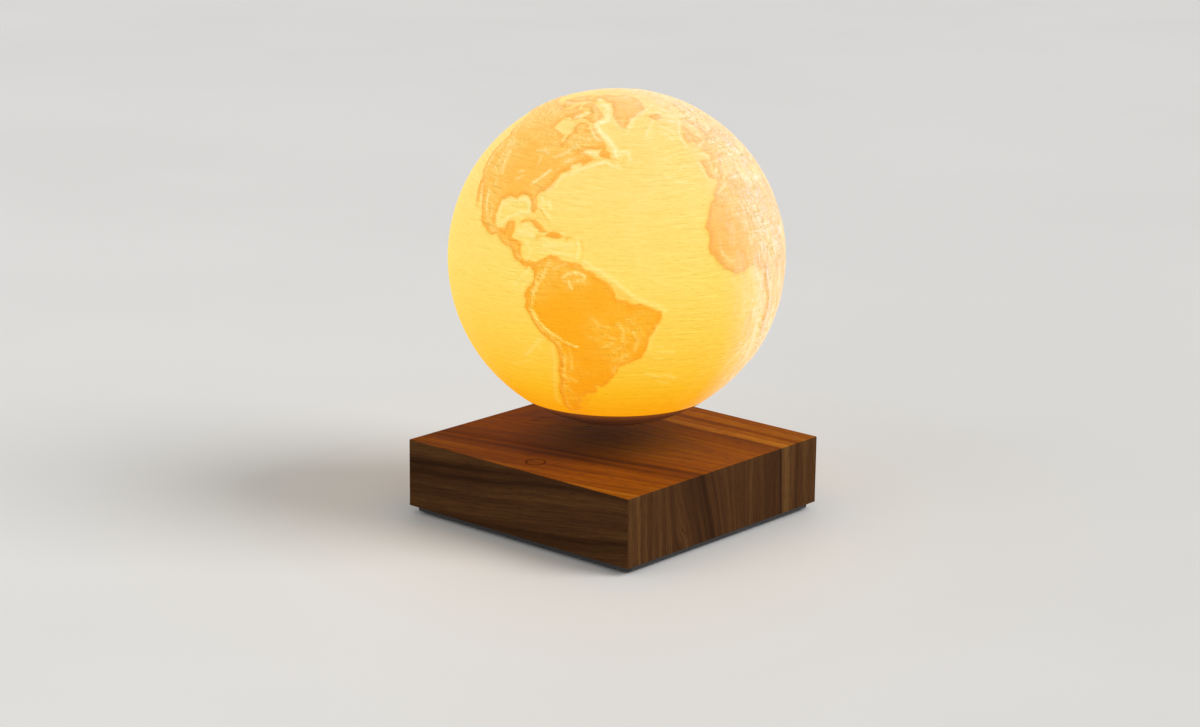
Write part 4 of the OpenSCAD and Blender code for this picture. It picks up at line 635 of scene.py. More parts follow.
def relief(directions):
    """Height in mm above the sea, and the maps that the globe's finish reads."""
    x, y, z = directions.T
    lon = np.degrees(np.arctan2(y, x) - math.radians(GLOBE_TURN))
    lat = np.degrees(np.arcsin(np.clip(z, -1, 1)))
    off_lon, off_lat = ((fractal(directions * 14, 4, seed) - 0.5) * 2 * COAST_WANDER for seed in (11, 23))

    def shaken(share=1.0):
        """The places, moved by a share of the coasts' wander."""
        return lon + off_lon * share, lat + off_lat * share

    coast = signed_coast(*shaken())
    shelf = shelf_depth(*shaken(), coast, directions)
    chain = line_strength(*shaken(0.7), CHAINS, spread=0.6)
    upland = line_strength(lon, lat, CHAINS, spread=2.4)
    ridge = line_strength(*shaken(), SEA_RIDGES)
    streak = streak_strength(*shaken(0.35))
    plain, highland, rough_sea = (spot_strength(lon, lat, spots)
                                  for spots in (PLAINS, HIGHLANDS, ROUGH_SEAS))
    rough = ridged(directions * 16, 4, 37)
    fine = ridged(directions * 34, 3, 41)
    swell = ridged(directions * np.array([20.0, 20.0, 44.0]), 3, 71)
    on_land = step_up(coast, -0.35, 0.35)
    hills = (1 - plain) * np.maximum(highland, 0.7 * step_up(fractal(directions * 7, 3, 53), 0.3, 0.7))
    peak = on_land * np.clip(chain * (0.1 + 0.5 * rough) + hills * fine * 0.35, 0, 1)
    floor = (1 - on_land) * np.clip(ridge * rough * 0.5 + swell * 0.25, 0, 1)
    height = (on_land * LAND_RISE + shelf * SHELF_RISE + peak * PEAK_RISE + floor * FLOOR_RISE
              + streak * STREAK_RISE - SEA_DROP)
    rugged = np.where(on_land > 0.5, 0.16 + 0.84 * np.maximum(hills, upland) * (1 - plain * 0.8),
                      0.2 + 0.5 * np.maximum(rough_sea, shelf * 0.5))
    return height, {"coast": coast, "peak": peak, "floor": floor, "shelf": shelf * (1 - on_land),
                    "rugged": rugged, "streak": streak, "inland": step_up(coast, 0.8, 3.2) * hills}


def slope_light(directions, height):
    """How much each place leans towards the upper right of the photograph's side."""
    light = np.array([0.62, 0.50, 0.60])
    sideways = light - directions * (directions @ light)[:, None]
    moved = directions + sideways * (0.5 * MM / SEA_R)
    moved /= np.linalg.norm(moved, axis=1)[:, None]
    return np.clip((height - relief(moved)[0]) / 0.16, -1, 1)


# Mesh helpers

def stitch(faces, first, first_count, second, second_count):
    """Joins two rings of points, each given by its first index and count."""
    i = j = 0
    while i < first_count or j < second_count:
        a, b = first + i % first_count, second + j % second_count
        take_first = j >= second_count
        if i < first_count and j < second_count:
            take_first = (i + 1) * second_count <= (j + 1) * first_count
        if take_first:
            faces.append((a, first + (i + 1) % first_count, b))
            i += 1
        else:
            faces.append((a, second + (j + 1) % second_count, b))
            j += 1


def ball(lats, counts):
    """Directions of a ball's rings from low to high and of its pole, and the faces between."""
    rings, faces, first = [], [], 0
    for k, (lat, count) in enumerate(zip(lats, counts)):
        angle = 2 * math.pi * np.arange(count) / count
        rings.append(np.stack([math.cos(lat) * np.cos(angle), math.cos(lat) * np.sin(angle),
                               np.full(count, math.sin(lat))], 1))
        if k:
            stitch(faces, first - counts[k - 1], counts[k - 1], first, count)
        first += count
    last, count = first - counts[-1], counts[-1]
    faces += [(last + k, last + (k + 1) % count, first) for k in range(count)]
    return np.concatenate(rings + [np.array([[0.0, 0.0, 1.0]])]), faces


def mesh_object(name, vertices, faces=()):
    mesh = bpy.data.meshes.new(name)
    mesh.from_pydata([tuple(v) for v in vertices], [], faces)
    obj = bpy.data.objects.new(name, mesh)
    bpy.context.scene.collection.objects.link(obj)
    return obj


def face_outwards(obj):
    edit = bmesh.new()
    edit.from_mesh(obj.data)
    bmesh.ops.recalc_face_normals(edit, faces=edit.faces)
    edit.to_mesh(obj.data)
    edit.free()


def add_map(obj, name, values):
    layer = obj.data.attributes.new(name, "FLOAT", "POINT")
    layer.data.foreach_set("value", np.asarray(values, np.float32))


# Node helpers

def operator(kind, swapped=False):
    """A method that puts a value and another one, or a number, through a math node."""
    def act(self, other=0.0):
        return self.wiring.math(kind, *((other, self) if swapped else (self, other)))
    return act


class Value:
    """The output of a node. Arithmetic and comparisons add math nodes to its tree."""

    def __init__(self, wiring, socket):
        self.wiring, self.socket = wiring, socket

    __add__ = __radd__ = operator("ADD")
    __mul__ = __rmul__ = operator("MULTIPLY")
    __sub__, __rsub__ = operator("SUBTRACT"), operator("SUBTRACT", swapped=True)
    __truediv__, __pow__ = operator("DIVIDE"), operator("POWER")
    __gt__, __lt__ = operator("GREATER_THAN"), operator("LESS_THAN")
    __abs__, at_least, at_most = operator("ABSOLUTE"), operator("MAXIMUM"), operator("MINIMUM")
    floor, part, root = operator("FLOOR"), operator("FRACT"), operator("SQRT")
    sine, angle_from = operator("SINE"), operator("ARCTAN2")


class Wiring:
    """A short way to add and wire the nodes of one tree."""

    def __init__(self, tree):
        self.nodes, self.links = tree.nodes, tree.links

    def wire(self, node, inputs):
        """Sets or links a node's inputs, given by name or by the letter i and a number."""
        for key, value in inputs.items():
            index = int(key[1:]) if key[1:].isdigit() else key.replace("_", " ")
            for one in value if isinstance(value, list) else [value]:
                if isinstance(one, Value):
                    self.links.new(one.socket, node.inputs[index])
                else:
                    node.inputs[index].default_value = one
        return node

    def node(self, kind, settings=None, **inputs):
        """A new node of this kind, with its settings and its inputs."""
        node = self.nodes.new(kind)
        for name, value in (settings or {}).items():
            setattr(node, name, value)
        return self.wire(node, inputs)

    def add(self, kind, settings=None, out=0, **inputs):
        """The output of a new node: its first one, unless out says which."""
        return Value(self, self.node(kind, settings, **inputs).outputs[out])

    def math(self, operation, a, b=0.0):
        return self.add("ShaderNodeMath", {"operation": operation}, i0=a, i1=b)

    def vector(self, operation, a, b=(0.0, 0.0, 0.0)):
        return self.add("ShaderNodeVectorMath", {"operation": operation}, i0=a, i1=b)

    def split(self, vector):
        parts = self.node("ShaderNodeSeparateXYZ", i0=vector).outputs
        return [Value(self, part) for part in parts]

    def join(self, x, y, z=0.0):
        return self.add("ShaderNodeCombineXYZ", X=x, Y=y, Z=z)

    def remap(self, value, low, high, out_low=0.0, out_high=1.0, smooth=True):
        kind = "SMOOTHSTEP" if smooth else "LINEAR"
        return self.add("ShaderNodeMapRange", {"interpolation_type": kind}, i0=value, i1=low, i2=high,
                        i3=out_low, i4=out_high)


class Tree(Wiring):
    """The nodes of one material."""

    def __init__(self, name):
        self.material = bpy.data.materials.new(name)
        self.material.use_nodes = True
        super().__init__(self.material.node_tree)

    def finish(self, **inputs):
        """Sets the shader's inputs and gives the material."""
        self.wire(self.nodes["Principled BSDF"], inputs)
        return self.material

    def place(self):
        return self.add("ShaderNodeTexCoord", out="Object")

    def attribute(self, name):
        return self.add("ShaderNodeAttribute", {"attribute_name": name}, out="Fac")

    def noise(self, vector, scale, detail=3.0, rough=0.5, warp=0.0):
        return self.add("ShaderNodeTexNoise", Vector=vector, Scale=scale, Detail=detail,
                        Roughness=rough, Distortion=warp)

    def streaks(self, detail, *axes):
        """Noise over values that each have a scale of their own."""
        return self.noise(self.join(*(value * scale for value, scale in axes)), 1.0, detail)

    def ramp(self, value, stops):
        node = self.node("ShaderNodeValToRGB", Fac=value)
        elements = node.color_ramp.elements
        while len(elements) < len(stops):
            elements.new(0.5)
        for element, (place, colour) in zip(elements, stops):
            shade = (colour,) * 3 if isinstance(colour, (int, float)) else colour
            element.position, element.color = place, (*shade, 1.0)
        return Value(self, node.outputs[0])

    def mix(self, share, a, b, blend="MIX"):
        a, b = (c if isinstance(c, Value) else (*c, 1.0) for c in (a, b))
        return self.add("ShaderNodeMix", {"data_type": "RGBA", "blend_type": blend}, out=2, i0=share,
                        i6=a, i7=b)

    def two_tone(self, clouds, colour, share):
        """The colour with clouds that keep only a share of it."""
        return self.mix(self.remap(clouds, 0.3, 0.7), tuple(c * share for c in colour), colour)

    def ridges(self, vector, *noise):
        """Thin winding crests: 1 on a crest and 0 away from it."""
        return self.remap(abs(self.noise(vector, *noise) - 0.5), 0.0, 0.15, 1.0, 0.0)

    def emboss(self, vector, step, *noise):
        """How much the crests fall along a step, from about -1 to 1."""
        return self.ridges(vector, *noise) - self.ridges(self.vector("ADD", vector, step), *noise)

    def bump(self, height, strength, distance):
        return self.add("ShaderNodeBump", Height=height, Strength=strength, Distance=distance)


class Form(Wiring):
    """A Geometry Nodes tree that works on a piece's own mesh or sets a shape at its points."""

    def __init__(self, name, *sizes):
        self.group = bpy.data.node_groups.new(name, "GeometryNodeTree")
        self.group.is_modifier = True
        super().__init__(self.group)
        sockets = [("Start", "Geometry"), *((size, "Float") for size in sizes), ("Finish", "Material")]
        for label, kind in sockets:
            self.group.interface.new_socket(label, in_out="INPUT", socket_type="NodeSocket" + kind)
        self.group.interface.new_socket("Piece", in_out="OUTPUT", socket_type="NodeSocketGeometry")
        given = self.node("NodeGroupInput").outputs
        self.start, *self.sizes, self.finish = [Value(self, given[label]) for label, kind in sockets]

    def place(self):
        return self.split(self.add("GeometryNodeInputPosition"))

    def moved(self, shape, place):
        return self.add("GeometryNodeSetPosition", Geometry=shape, Position=place)

    def shifted(self, shape, by, turn=(0.0, 0.0, 0.0)):
        return self.add("GeometryNodeTransform", Geometry=shape, Translation=by, Rotation=turn)

    def together(self, *shapes):
        return self.add("GeometryNodeJoinGeometry", Geometry=list(shapes))

    def cut(self, shape, cutter):
        return self.add("GeometryNodeMeshBoolean", {"operation": "DIFFERENCE"}, i0=shape, i1=cutter)

    def cylinder(self, sides, radius, depth, **rows):
        return self.add("GeometryNodeMeshCylinder", Vertices=sides, Radius=radius, Depth=depth, **rows)

    def circle(self, steps, radius):
        return self.add("GeometryNodeCurvePrimitiveCircle", Resolution=steps, Radius=radius)

    def rectangle(self, width, height):
        return self.add("GeometryNodeCurvePrimitiveQuadrilateral", Width=width, Height=height)

    def spiral(self, steps, turns, first, last, rise):
        return self.add("GeometryNodeCurveSpiral", Resolution=steps, Rotations=turns,
                        Start_Radius=first, End_Radius=last, Height=rise)

    def swept(self, path, section):
        return self.add("GeometryNodeCurveToMesh", Curve=path, Profile_Curve=section, Fill_Caps=True)

    def at_points(self, shape, turn=(0.0, 0.0, 0.0), points=None):
        return self.add("GeometryNodeInstanceOnPoints", Points=points or self.start, Instance=shape,
                        Rotation=turn)

    def end(self, shape):
        whole = self.add("GeometryNodeRealizeInstances", Geometry=shape)
        done = self.add("GeometryNodeSetMaterial", Geometry=whole, Material=self.finish)
        self.node("NodeGroupOutput", i0=done)
        return self


def grow(obj, form, finish, **sizes):
    """Runs a form on a piece and keeps the result as the piece's own mesh."""
    values = {key.replace("_", " "): value for key, value in sizes.items()}
    values["Finish"] = finish
    grower = obj.modifiers.new(form.group.name, "NODES")
    grower.node_group = form.group
    for item in form.group.interface.items_tree:
        if item.name in values:
            grower[item.identifier] = values[item.name]
    state = bpy.context.evaluated_depsgraph_get()
    grown = bpy.data.meshes.new_from_object(obj.evaluated_get(state), preserve_all_data_layers=True,
                                            depsgraph=state)
    obj.modifiers.remove(grower)
    grown.materials.clear()
    grown.materials.append(finish)
    obj.data = grown


def set_in(obj, body, slot, node=None):
    """The body that a piece rides on, its slot, which is not used, and the node that it stands for."""
    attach(obj, body)
    if node:
        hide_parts(node)


def grown_piece(name, places, form, finish, fitted, **sizes):
    """A piece with a form at each place; a size that isn't given is 0."""
    obj = mesh_object(name, places)
    grow(obj, form, finish, **sizes)
    obj.data.shade_smooth()
    obj.data.set_sharp_from_angle(angle=math.radians(35))
    set_in(obj, *fitted)


def cover(name, material):
    """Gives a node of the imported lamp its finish."""
    mesh = frame["nodes"][name].data
    mesh.materials.clear()
    mesh.materials.append(material)


# Finishes

# Brightness of the walnut's stripes, by place across the grain in mm
TOP_STRIPES = [
    (-98, 0.5), (-84, 0.42), (-66, 0.52), (-60, 0.5), (-58.2, 0.52), (-57.2, 0.74), (-56, 0.5),
    (-50, 0.46), (-48.4, 0.68), (-46.8, 0.5), (-42.5, 0.52), (-41.5, 0.24), (-40.5, 0.5),
    (-36, 0.46), (-33, 0.56), (-30, 0.46), (-26.5, 0.4), (-24, 0.1), (-21.8, 0.38),
    (-19.5, 0.32), (-17.5, 0.08), (-14, 0.34), (-5, 0.5), (8, 0.54), (20, 0.48), (28, 0.4),
    (35, 0.36), (37.6, 0.22), (38.4, 0.68), (41, 0.82), (43, 0.7), (44.5, 0.56), (46, 0.62),
    (48.4, 0.28), (50.5, 0.42), (53, 0.62), (56, 0.64), (60, 0.5), (66, 0.45), (98, 0.5),
]
FRONT_STRIPES = [
    (-98, 0.42), (-90, 0.5), (-86, 0.42), (-83.5, 0.2), (-81.5, 0.46), (-77, 0.56), (-72, 0.5),
    (-68, 0.56), (-65.5, 0.48), (-63, 0.2), (-61.3, 0.42), (-59, 0.14), (-56.5, 0.46), (-53, 0.66),
    (-49, 0.6), (-44, 0.56), (-40, 0.5),
]
# The wood's colours from dark to bright: the top's are painted warmer with the globe's glow, and the sides'
# are painted darker as shade
GLOW_LIT_TOP_TONES = [
    (0.12, (0.034, 0.010, 0.001)), (0.30, (0.113, 0.029, 0.002)),
    (0.50, (0.255, 0.066, 0.003)), (0.68, (0.400, 0.137, 0.010)),
    (0.90, (0.610, 0.255, 0.026)),
]
SHADED_SIDE_TONES = [
    (0.12, (0.012, 0.005, 0.002)), (0.30, (0.034, 0.014, 0.006)),
    (0.50, (0.072, 0.030, 0.011)), (0.68, (0.125, 0.058, 0.019)),
    (0.90, (0.215, 0.112, 0.036)),
]
# Where the stripes' lean changes, by place across the grain in mm
LEAN_CHANGES = [(-38, -24), (-12, 20)]


def walnut(name, tones, stripes, fall, slant, marked=False):
    """Walnut whose stripes run along X on top and fold down over the sides.

    fall says which way the pattern goes on as the face goes down, along X and along Y.
    slant says how much the stripes lean at the front, in front of the middle and at the rear.
    """
    tree = Tree(name)
    x, y, z = tree.split(tree.place())
    depth = CASE_TOP - z
    along, across = x + depth * fall[0], y + depth * fall[1]
    first, second = ((start * MM, end * MM) for start, end in LEAN_CHANGES)
    lean = (tree.remap(across, *first, slant[0], slant[1])
            + tree.remap(across, *second, 0.0, slant[2] - slant[1]))
    sway = tree.streaks(2.0, (along, 10.0), (across, 40.0)) - 0.5
    grain = across + lean * (HALF - along) + sway * (6 * MM)
    low, high = stripes[0][0] * MM, stripes[-1][0] * MM
    place = tree.remap(grain, low, high, smooth=False)
    stops = [((at * MM - low) / (high - low), shade) for at, shade in stripes]
    # A ramp holds 32 stops, so the near and the far stripes have one each
    middle = len(stops) // 2
    striped = tree.mix(place > stops[middle][0], tree.ramp(place, stops[:middle + 1]),
                       tree.ramp(place, stops[middle:]))
    band = tree.streaks(4.0, (along, 9.0), (grain, 330.0))
    fibre = tree.streaks(3.0, (along, 60.0), (grain, 1700.0))
    pore = tree.remap(tree.streaks(2.0, (along, 170.0), (grain, 3300.0)), 0.36, 0.46, 1.0, 0.0)
    colour = tree.ramp(striped * 0.5 + band * 0.5 + fibre * 0.26 - 0.12, tones)
    colour = tree.mix(pore * 0.5, colour, (0.035, 0.014, 0.006))
    if marked:
        off_y = y - TOUCH_Y
        off_ring = abs((x * x + off_y * off_y).root() - TOUCH_R)
        groove = tree.remap(off_ring, 0.25 * MM, 0.5 * MM, 1.0, 0.0)
        colour = tree.mix(groove * 0.72, colour, (0.022, 0.009, 0.005))
    return tree.finish(Base_Color=colour, Roughness=tree.remap(band, 0.3, 0.7, 0.5, 0.62),
                       Specular_IOR_Level=0.01, Normal=tree.bump(fibre * 0.4 - pore, 0.35, 0.12 * MM))


# Glow of sea and land by height on the globe, as a share of its radius: deeper orange low down and paler
# high up, partly as painted light from above
SEA_GLOW = [
    (-0.82, (0.960, 0.350, 0.001)), (-0.73, (0.965, 0.395, 0.002)), (-0.62, (0.965, 0.470, 0.006)),
    (-0.50, (0.965, 0.530, 0.024)), (-0.26, (0.965, 0.605, 0.062)), (0.09, (0.965, 0.680, 0.125)),
    (0.45, (0.965, 0.690, 0.160)), (0.90, (0.965, 0.690, 0.200)),
]
LAND_GLOW = [
    (-0.82, (0.920, 0.280, 0.001)), (-0.57, (0.955, 0.350, 0.002)), (-0.20, (0.965, 0.395, 0.003)),
    (0.05, (0.965, 0.415, 0.010)), (0.45, (0.965, 0.480, 0.060)), (0.77, (0.965, 0.500, 0.075)),
    (0.95, (0.965, 0.555, 0.130)),
]
# Painted light: the side towards Africa and Europe is painted paler, as if lit from the right
SIDELIGHT_YELLOW = (0.97, 0.80, 0.47)
SIDELIGHT_PINK = (0.965, 0.69, 0.45)
# The way from the globe's middle to its back, as the photograph sees it
AWAY = (-0.656, 0.755, -0.2)


def globe_finish():
    """Printed plastic, lit from inside: the sea glows yellow and thicker land glows orange."""
    tree = Tree("lit_printed_globe")
    place = tree.place()
    x, y, z = tree.split(place)
    names = ("coast", "peak", "floor", "lean", "shelf", "rugged", "streak", "inland")
    coast, peak, floor, lean, shelf, rugged, streak, inland = (tree.attribute(n) for n in names)
    mottle = tree.noise(place, 260.0, 4.0, 0.62)
    layers = tree.noise(tree.join(x * 0.28, y * 0.28, z), 900.0, 4.0, 0.62)
    low, high = -0.82, 0.95
    share = tree.remap(z, GLOBE_Z + low * SEA_R, GLOBE_Z + high * SEA_R, smooth=False)
    sea, ground = (tree.ramp(share, [((at - low) / (high - low), shade) for at, shade in glow])
                   for glow in (SEA_GLOW, LAND_GLOW))
    pale = tree.ramp(share, [(0.0, (0.98, 0.52, 0.04)), (0.4, (0.98, 0.72, 0.16)),
                             (1.0, (0.98, 0.85, 0.42))])
    # Land and sea
    shaken = coast + (mottle - 0.5) * 1.6
    land = tree.remap(shaken, -0.75, 0.45)
    rim = tree.remap(shaken, -0.6, 0.1) * tree.remap(shaken, 0.5, 2.2, 1.0, 0.0)
    colour = tree.mix(floor * 0.3, sea, pale)
    colour = tree.mix(shelf * 0.25, colour, ground)
    colour = tree.mix(land, colour, ground)
    colour = tree.mix(rim * 0.4, colour, (0.93, 0.30, 0.012))
    high_ground = inland * tree.remap(mottle, 0.3, 0.65, 0.25, 0.75)
    colour = tree.mix(high_ground * 0.3, colour, sea)
    crest = peak * tree.remap(mottle, 0.3, 0.62, 0.2, 1.0)
    colour = tree.mix(crest * 0.55, colour, pale)
    # Painted light from the right: a paler side, which fades out again towards the back, past the edge that
    # the camera sees
    east = y * (1 / SEA_R)
    sea_sidelight = east * 2.0 + ((z - GLOBE_Z) * (0.3 / SEA_R)).at_most(0.0)
    land_sidelight = sea_sidelight.at_least(east * 0.9)
    side = sea_sidelight * (1.0 - land) + land_sidelight * land
    away_x, away_y, away_z = (part / SEA_R for part in AWAY)
    behind = y * away_y + x * away_x + (z - GLOBE_Z) * away_z
    side = tree.remap(side, -0.5, 0.5) * tree.remap(behind, -0.04, 0.34, 1.0, 0.08)
    upright = tree.join(x, y, z * 0.4)
    patchy_sidelight = side * tree.remap(tree.ridges(upright, 200.0, 4.0, 0.6, 0.6), 0.15, 0.85, 1.0, 0.66)
    sidelight_hue = tree.remap(tree.noise(upright, 130.0, 3.0, 0.6), 0.4, 0.6)
    colour = tree.mix(patchy_sidelight, colour, tree.mix(sidelight_hue, SIDELIGHT_PINK, SIDELIGHT_YELLOW))
    # Thin streaks, broken up by the noise
    broken = tree.remap(mottle, 0.3, 0.55, 0.45, 1.0)
    paler = streak.at_least(0.0) * broken
    darker = (streak * -1.0).at_least(0.0) * broken
    # On the side with painted light, the paler streaks turn cream
    colour = tree.mix(paler * 0.9, colour, tree.mix(side, pale, (0.975, 0.83, 0.55)))
    colour = tree.mix(darker * 0.6, colour, ground)
    # Slopes towards the upper right catch more light
    fine = tree.emboss(place, (0.22 * MM, 0.18 * MM, 0.3 * MM), 300.0, 4.0, 0.6)
    level = tree.join(x * 0.13, y * 0.13, z)
    marks = tree.emboss(level, (0.02 * MM, 0.02 * MM, 0.35 * MM), 330.0, 4.0, 0.6)
    wide = tree.emboss(upright, (0.5 * MM, 0.45 * MM, 0.12 * MM), 190.0, 4.0, 0.6, 0.6)
    fine_share = rugged * tree.remap(coast, -0.8, 0.4, 0.4, 1.0)
    slopes = fine * fine_share + marks * (rugged * 0.5 + 0.24) + wide * (side * side * 0.75)
    slant = lean.at_least(lean * 0.5)
    shade = tree.remap(layers, 0.25, 0.75, 0.94, 1.05, smooth=False) + (slant * 0.17 + slopes * 0.26)
    # Shade takes most from the blue, so the light turns more orange as it falls
    tint = tree.join(shade.at_most(1.0), shade, shade.at_least(0.1) ** 2.4)
    colour = tree.mix(1.0, colour, tint, "MULTIPLY")
    return tree.finish(Emission_Color=colour, Emission_Strength=1.0,
                       Base_Color=tree.mix(0.95, colour, (0.006, 0.006, 0.006)), Roughness=0.55,
                       Specular_IOR_Level=0.12, Normal=tree.bump(layers + mottle, 0.5, 0.12 * MM))


def cap_finish():
    """Opaque cap of the same plastic, painted dark brown as shade and the wood's warm light under the globe,
    with a little light that leaks at its seam.
    """
    tree = Tree("cap_plastic")
    place = tree.place()
    x, y, z = tree.split(place)
    grain = tree.streaks(2.0, (x, 90.0), (y, 90.0), (z, 2200.0))
    # Painted shade: the cap's brown stands in for its shade and the warm light from the wood
    colour = tree.mix(tree.remap(grain, 0.3, 0.7), (0.20, 0.082, 0.036), (0.26, 0.112, 0.052))
    leak = tree.remap(z, GLOBE_Z + SPLIT_Z - 4.5 * MM, GLOBE_Z + SPLIT_Z)
    return tree.finish(Base_Color=colour, Roughness=0.5, Emission_Strength=1.0,
                       Emission_Color=tree.mix(leak, (0.0, 0.0, 0.0), (0.105, 0.022, 0.0)),
                       Normal=tree.bump(grain + tree.noise(place, 700.0, 2.0) * 0.3, 0.3, 0.1 * MM))


def moulded(name, colour, rough, grain=900.0):
    """Moulded plastic or rubber with a fine grain."""
    tree = Tree(name)
    place = tree.place()
    fine, wide = tree.noise(place, grain, 3.0), tree.noise(place, grain * 0.06, 2.0)
    return tree.finish(Base_Color=tree.two_tone(wide, colour, 0.78), Normal=tree.bump(fine, 0.25, 0.05 * MM),
                       Roughness=tree.remap(fine, 0.3, 0.7, rough - 0.06, rough + 0.08))


def metal(name, colour, rough):
    """Metal with drawn or plated streaks."""
    tree = Tree(name)
    x, y, z = tree.split(tree.place())
    lines = tree.streaks(3.0, (x, 900.0), (y, 60.0), (z, 60.0))
    return tree.finish(Metallic=1.0, Base_Color=tree.two_tone(lines, colour, 0.8),
                       Roughness=tree.remap(lines, 0.3, 0.7, rough - 0.05, rough + 0.1),
                       Normal=tree.bump(lines, 0.15, 0.03 * MM))


def circuit_board(name, mask, copper):
    """Solder mask with the raised tracks that show through it, in short runs either way."""
    tree = Tree(name)
    place = tree.place()
    x, y, z = tree.split(place)
    tracks = 0.0
    for along, across, shift in ((x, y, 0.0), (y, x, 7.0)):
        lane = across / (1.6 * MM)
        line = tree.remap(abs(lane.part() - 0.5), 0.12, 0.17, 1.0, 0.0)
        run = tree.noise(tree.join(along * 90.0, lane.floor() + shift), 0.8, 0.0)
        tracks = (line * tree.remap(run, 0.52, 0.54)).at_least(tracks)
    dull = tuple(c * 0.75 for c in mask)
    cloudy = tree.remap(tree.noise(place, 60.0, 2.0), 0.35, 0.65, 0.0, 0.4)
    return tree.finish(Base_Color=tree.mix(cloudy, tree.mix(tracks * 0.55, mask, copper), dull),
                       Roughness=0.3, Normal=tree.bump(tracks, 0.3, 0.04 * MM))


def winding_copper():
    """Enamelled wire: fine rings that follow the turns, painted darker between them as shade and paler on
    them as highlight.
    """
    tree, pitch = Tree("enamelled_copper"), 0.35 * MM
    x, y, z = tree.split(tree.place())
    # Painted shade between the turns and painted highlight on them
    turn = tree.remap((z * (2 * math.pi / pitch)).sine(), -1.0, 1.0)
    return tree.finish(Metallic=1.0, Base_Color=tree.mix(turn, (0.20, 0.07, 0.025), (0.62, 0.28, 0.12)),
                       Roughness=0.28, Normal=tree.bump(turn, 0.6, 0.1 * MM))


# Forms

def screw_form():
    """A threaded screw with a star recess: its head's face is at the place, its tip above."""
    form = Form("screw", "Head radius", "Neck radius", "Head height", "Crown", "Shank radius",
                "Length", "Pitch", "Turn over")
    head_r, neck_r, head_height, crown, shank_r, length, pitch, turn_over = form.sizes
    x, y, z = form.place()
    head = form.add("GeometryNodeMeshCone", Vertices=32, Side_Segments=4, Radius_Top=neck_r,
                    Radius_Bottom=head_r, Depth=head_height)
    narrow = 1.0 - (1.0 - z / head_height) ** 2.0 * crown
    head = form.moved(head, form.join(x * narrow, y * narrow, z))
    star = form.add("GeometryNodeCurveStar", Points=6, Inner_Radius=head_r * 0.34,
                    Outer_Radius=head_r * 0.5)
    deep = head_height * 0.65
    line = form.add("GeometryNodeCurvePrimitiveLine", Start=form.join(0.0, 0.0, deep * -1.0),
                    End=form.join(0.0, 0.0, deep))
    head = form.cut(head, form.swept(line, star))
    # The shank starts inside the head, above the recess
    start = head_height * 0.8
    long = length - start
    shank = form.cylinder(20, shank_r, long, Side_Segments=long / pitch * 6.0)
    up = z + (start + long * 0.5)
    turns = y.angle_from(x) / (2 * math.pi)
    valley = abs((up / pitch - turns).part() * 2.0 - 1.0) * (up > head_height + pitch)
    size = (1.0 - valley * 0.17) * form.remap(up, length - shank_r, length, 1.0, 0.6)
    shank = form.moved(shank, form.join(x * size, y * size, up))
    return form.end(form.at_points(form.together(head, shank), form.join(turn_over, 0.0)))


def disc_form():
    """A disc with ring treads below and a crown on top, its lower face at the place."""
    form = Form("disc", "Radius", "Height", "Rings", "Tread", "Rounding", "Crown")
    radius, height, rings, tread, rounding, crown = form.sizes
    disc = form.cylinder(48, radius, height, Side_Segments=4, Fill_Segments=rings * 2.0)
    x, y, z = form.place()
    up = z / height + 0.5
    out = (x * x + y * y).root() / radius
    wave = (out * rings * math.pi).sine()
    lift = wave * wave * tread * (up < 0.01)
    drop = out * out * crown * (up > 0.99)
    size = 1.0 - (1.0 - up) ** 4.0 * rounding
    disc = form.moved(disc, form.join(x * size, y * size, up * height + lift - drop))
    return form.end(form.at_points(disc))


def flat_coil_form():
    """One flat layer of wire, wound from the inside out, with its middle at the place."""
    form = Form("flat_coil", "Inner radius", "Outer radius", "Wire radius")
    inner_r, outer_r, wire_r = form.sizes
    first, last = inner_r + wire_r, outer_r - wire_r
    turns = ((last - first) / wire_r / 2.0).floor()
    coil = form.swept(form.spiral(72, turns, first, last, 0.0), form.circle(10, wire_r))
    return form.end(form.at_points(coil))


def winding_form():
    """Wire wound round a bobbin: its outer layer over a full core, with its foot at the place."""
    form = Form("winding", "Inner radius", "Outer radius", "Height", "Wire radius")
    inner_r, outer_r, height, wire_r = form.sizes
    middle, thick = outer_r - wire_r, wire_r * 2.0
    rise = height - thick
    layer = form.swept(form.spiral(40, rise / thick, middle, middle, rise), form.circle(8, wire_r))
    layer = form.shifted(layer, form.join(0.0, 0.0, wire_r))
    width = middle - inner_r
    core = form.swept(form.circle(64, inner_r + width * 0.5), form.rectangle(width, rise))
    core = form.shifted(core, form.join(0.0, 0.0, height * 0.5))
    return form.end(form.at_points(form.together(layer, core)))


def block_form():
    """A moulded block with drafted sides and a round well in its top, its foot at the place."""
    form = Form("moulded_block", "Width", "Length", "Height", "Draft", "Well radius", "Well depth",
                "Well off", "Turn over", "Facing out")
    width, length, height, draft, well_r, well_depth, well_off, turn_over, facing_out = form.sizes
    block = form.add("GeometryNodeMeshCube", Vertices_Z=3, Size=form.join(width, length, height))
    x, y, z = form.place()
    half = height * 0.5
    size = 1.0 - abs(z) / half * draft
    block = form.moved(block, form.join(x * size, y * size, z + half))
    well = form.shifted(form.cylinder(24, well_r, well_depth * 2.0), form.join(well_off, well_off, height))
    turn = form.join(turn_over, 0.0, y.angle_from(x) * facing_out)
    return form.end(form.at_points(form.cut(block, well), turn))


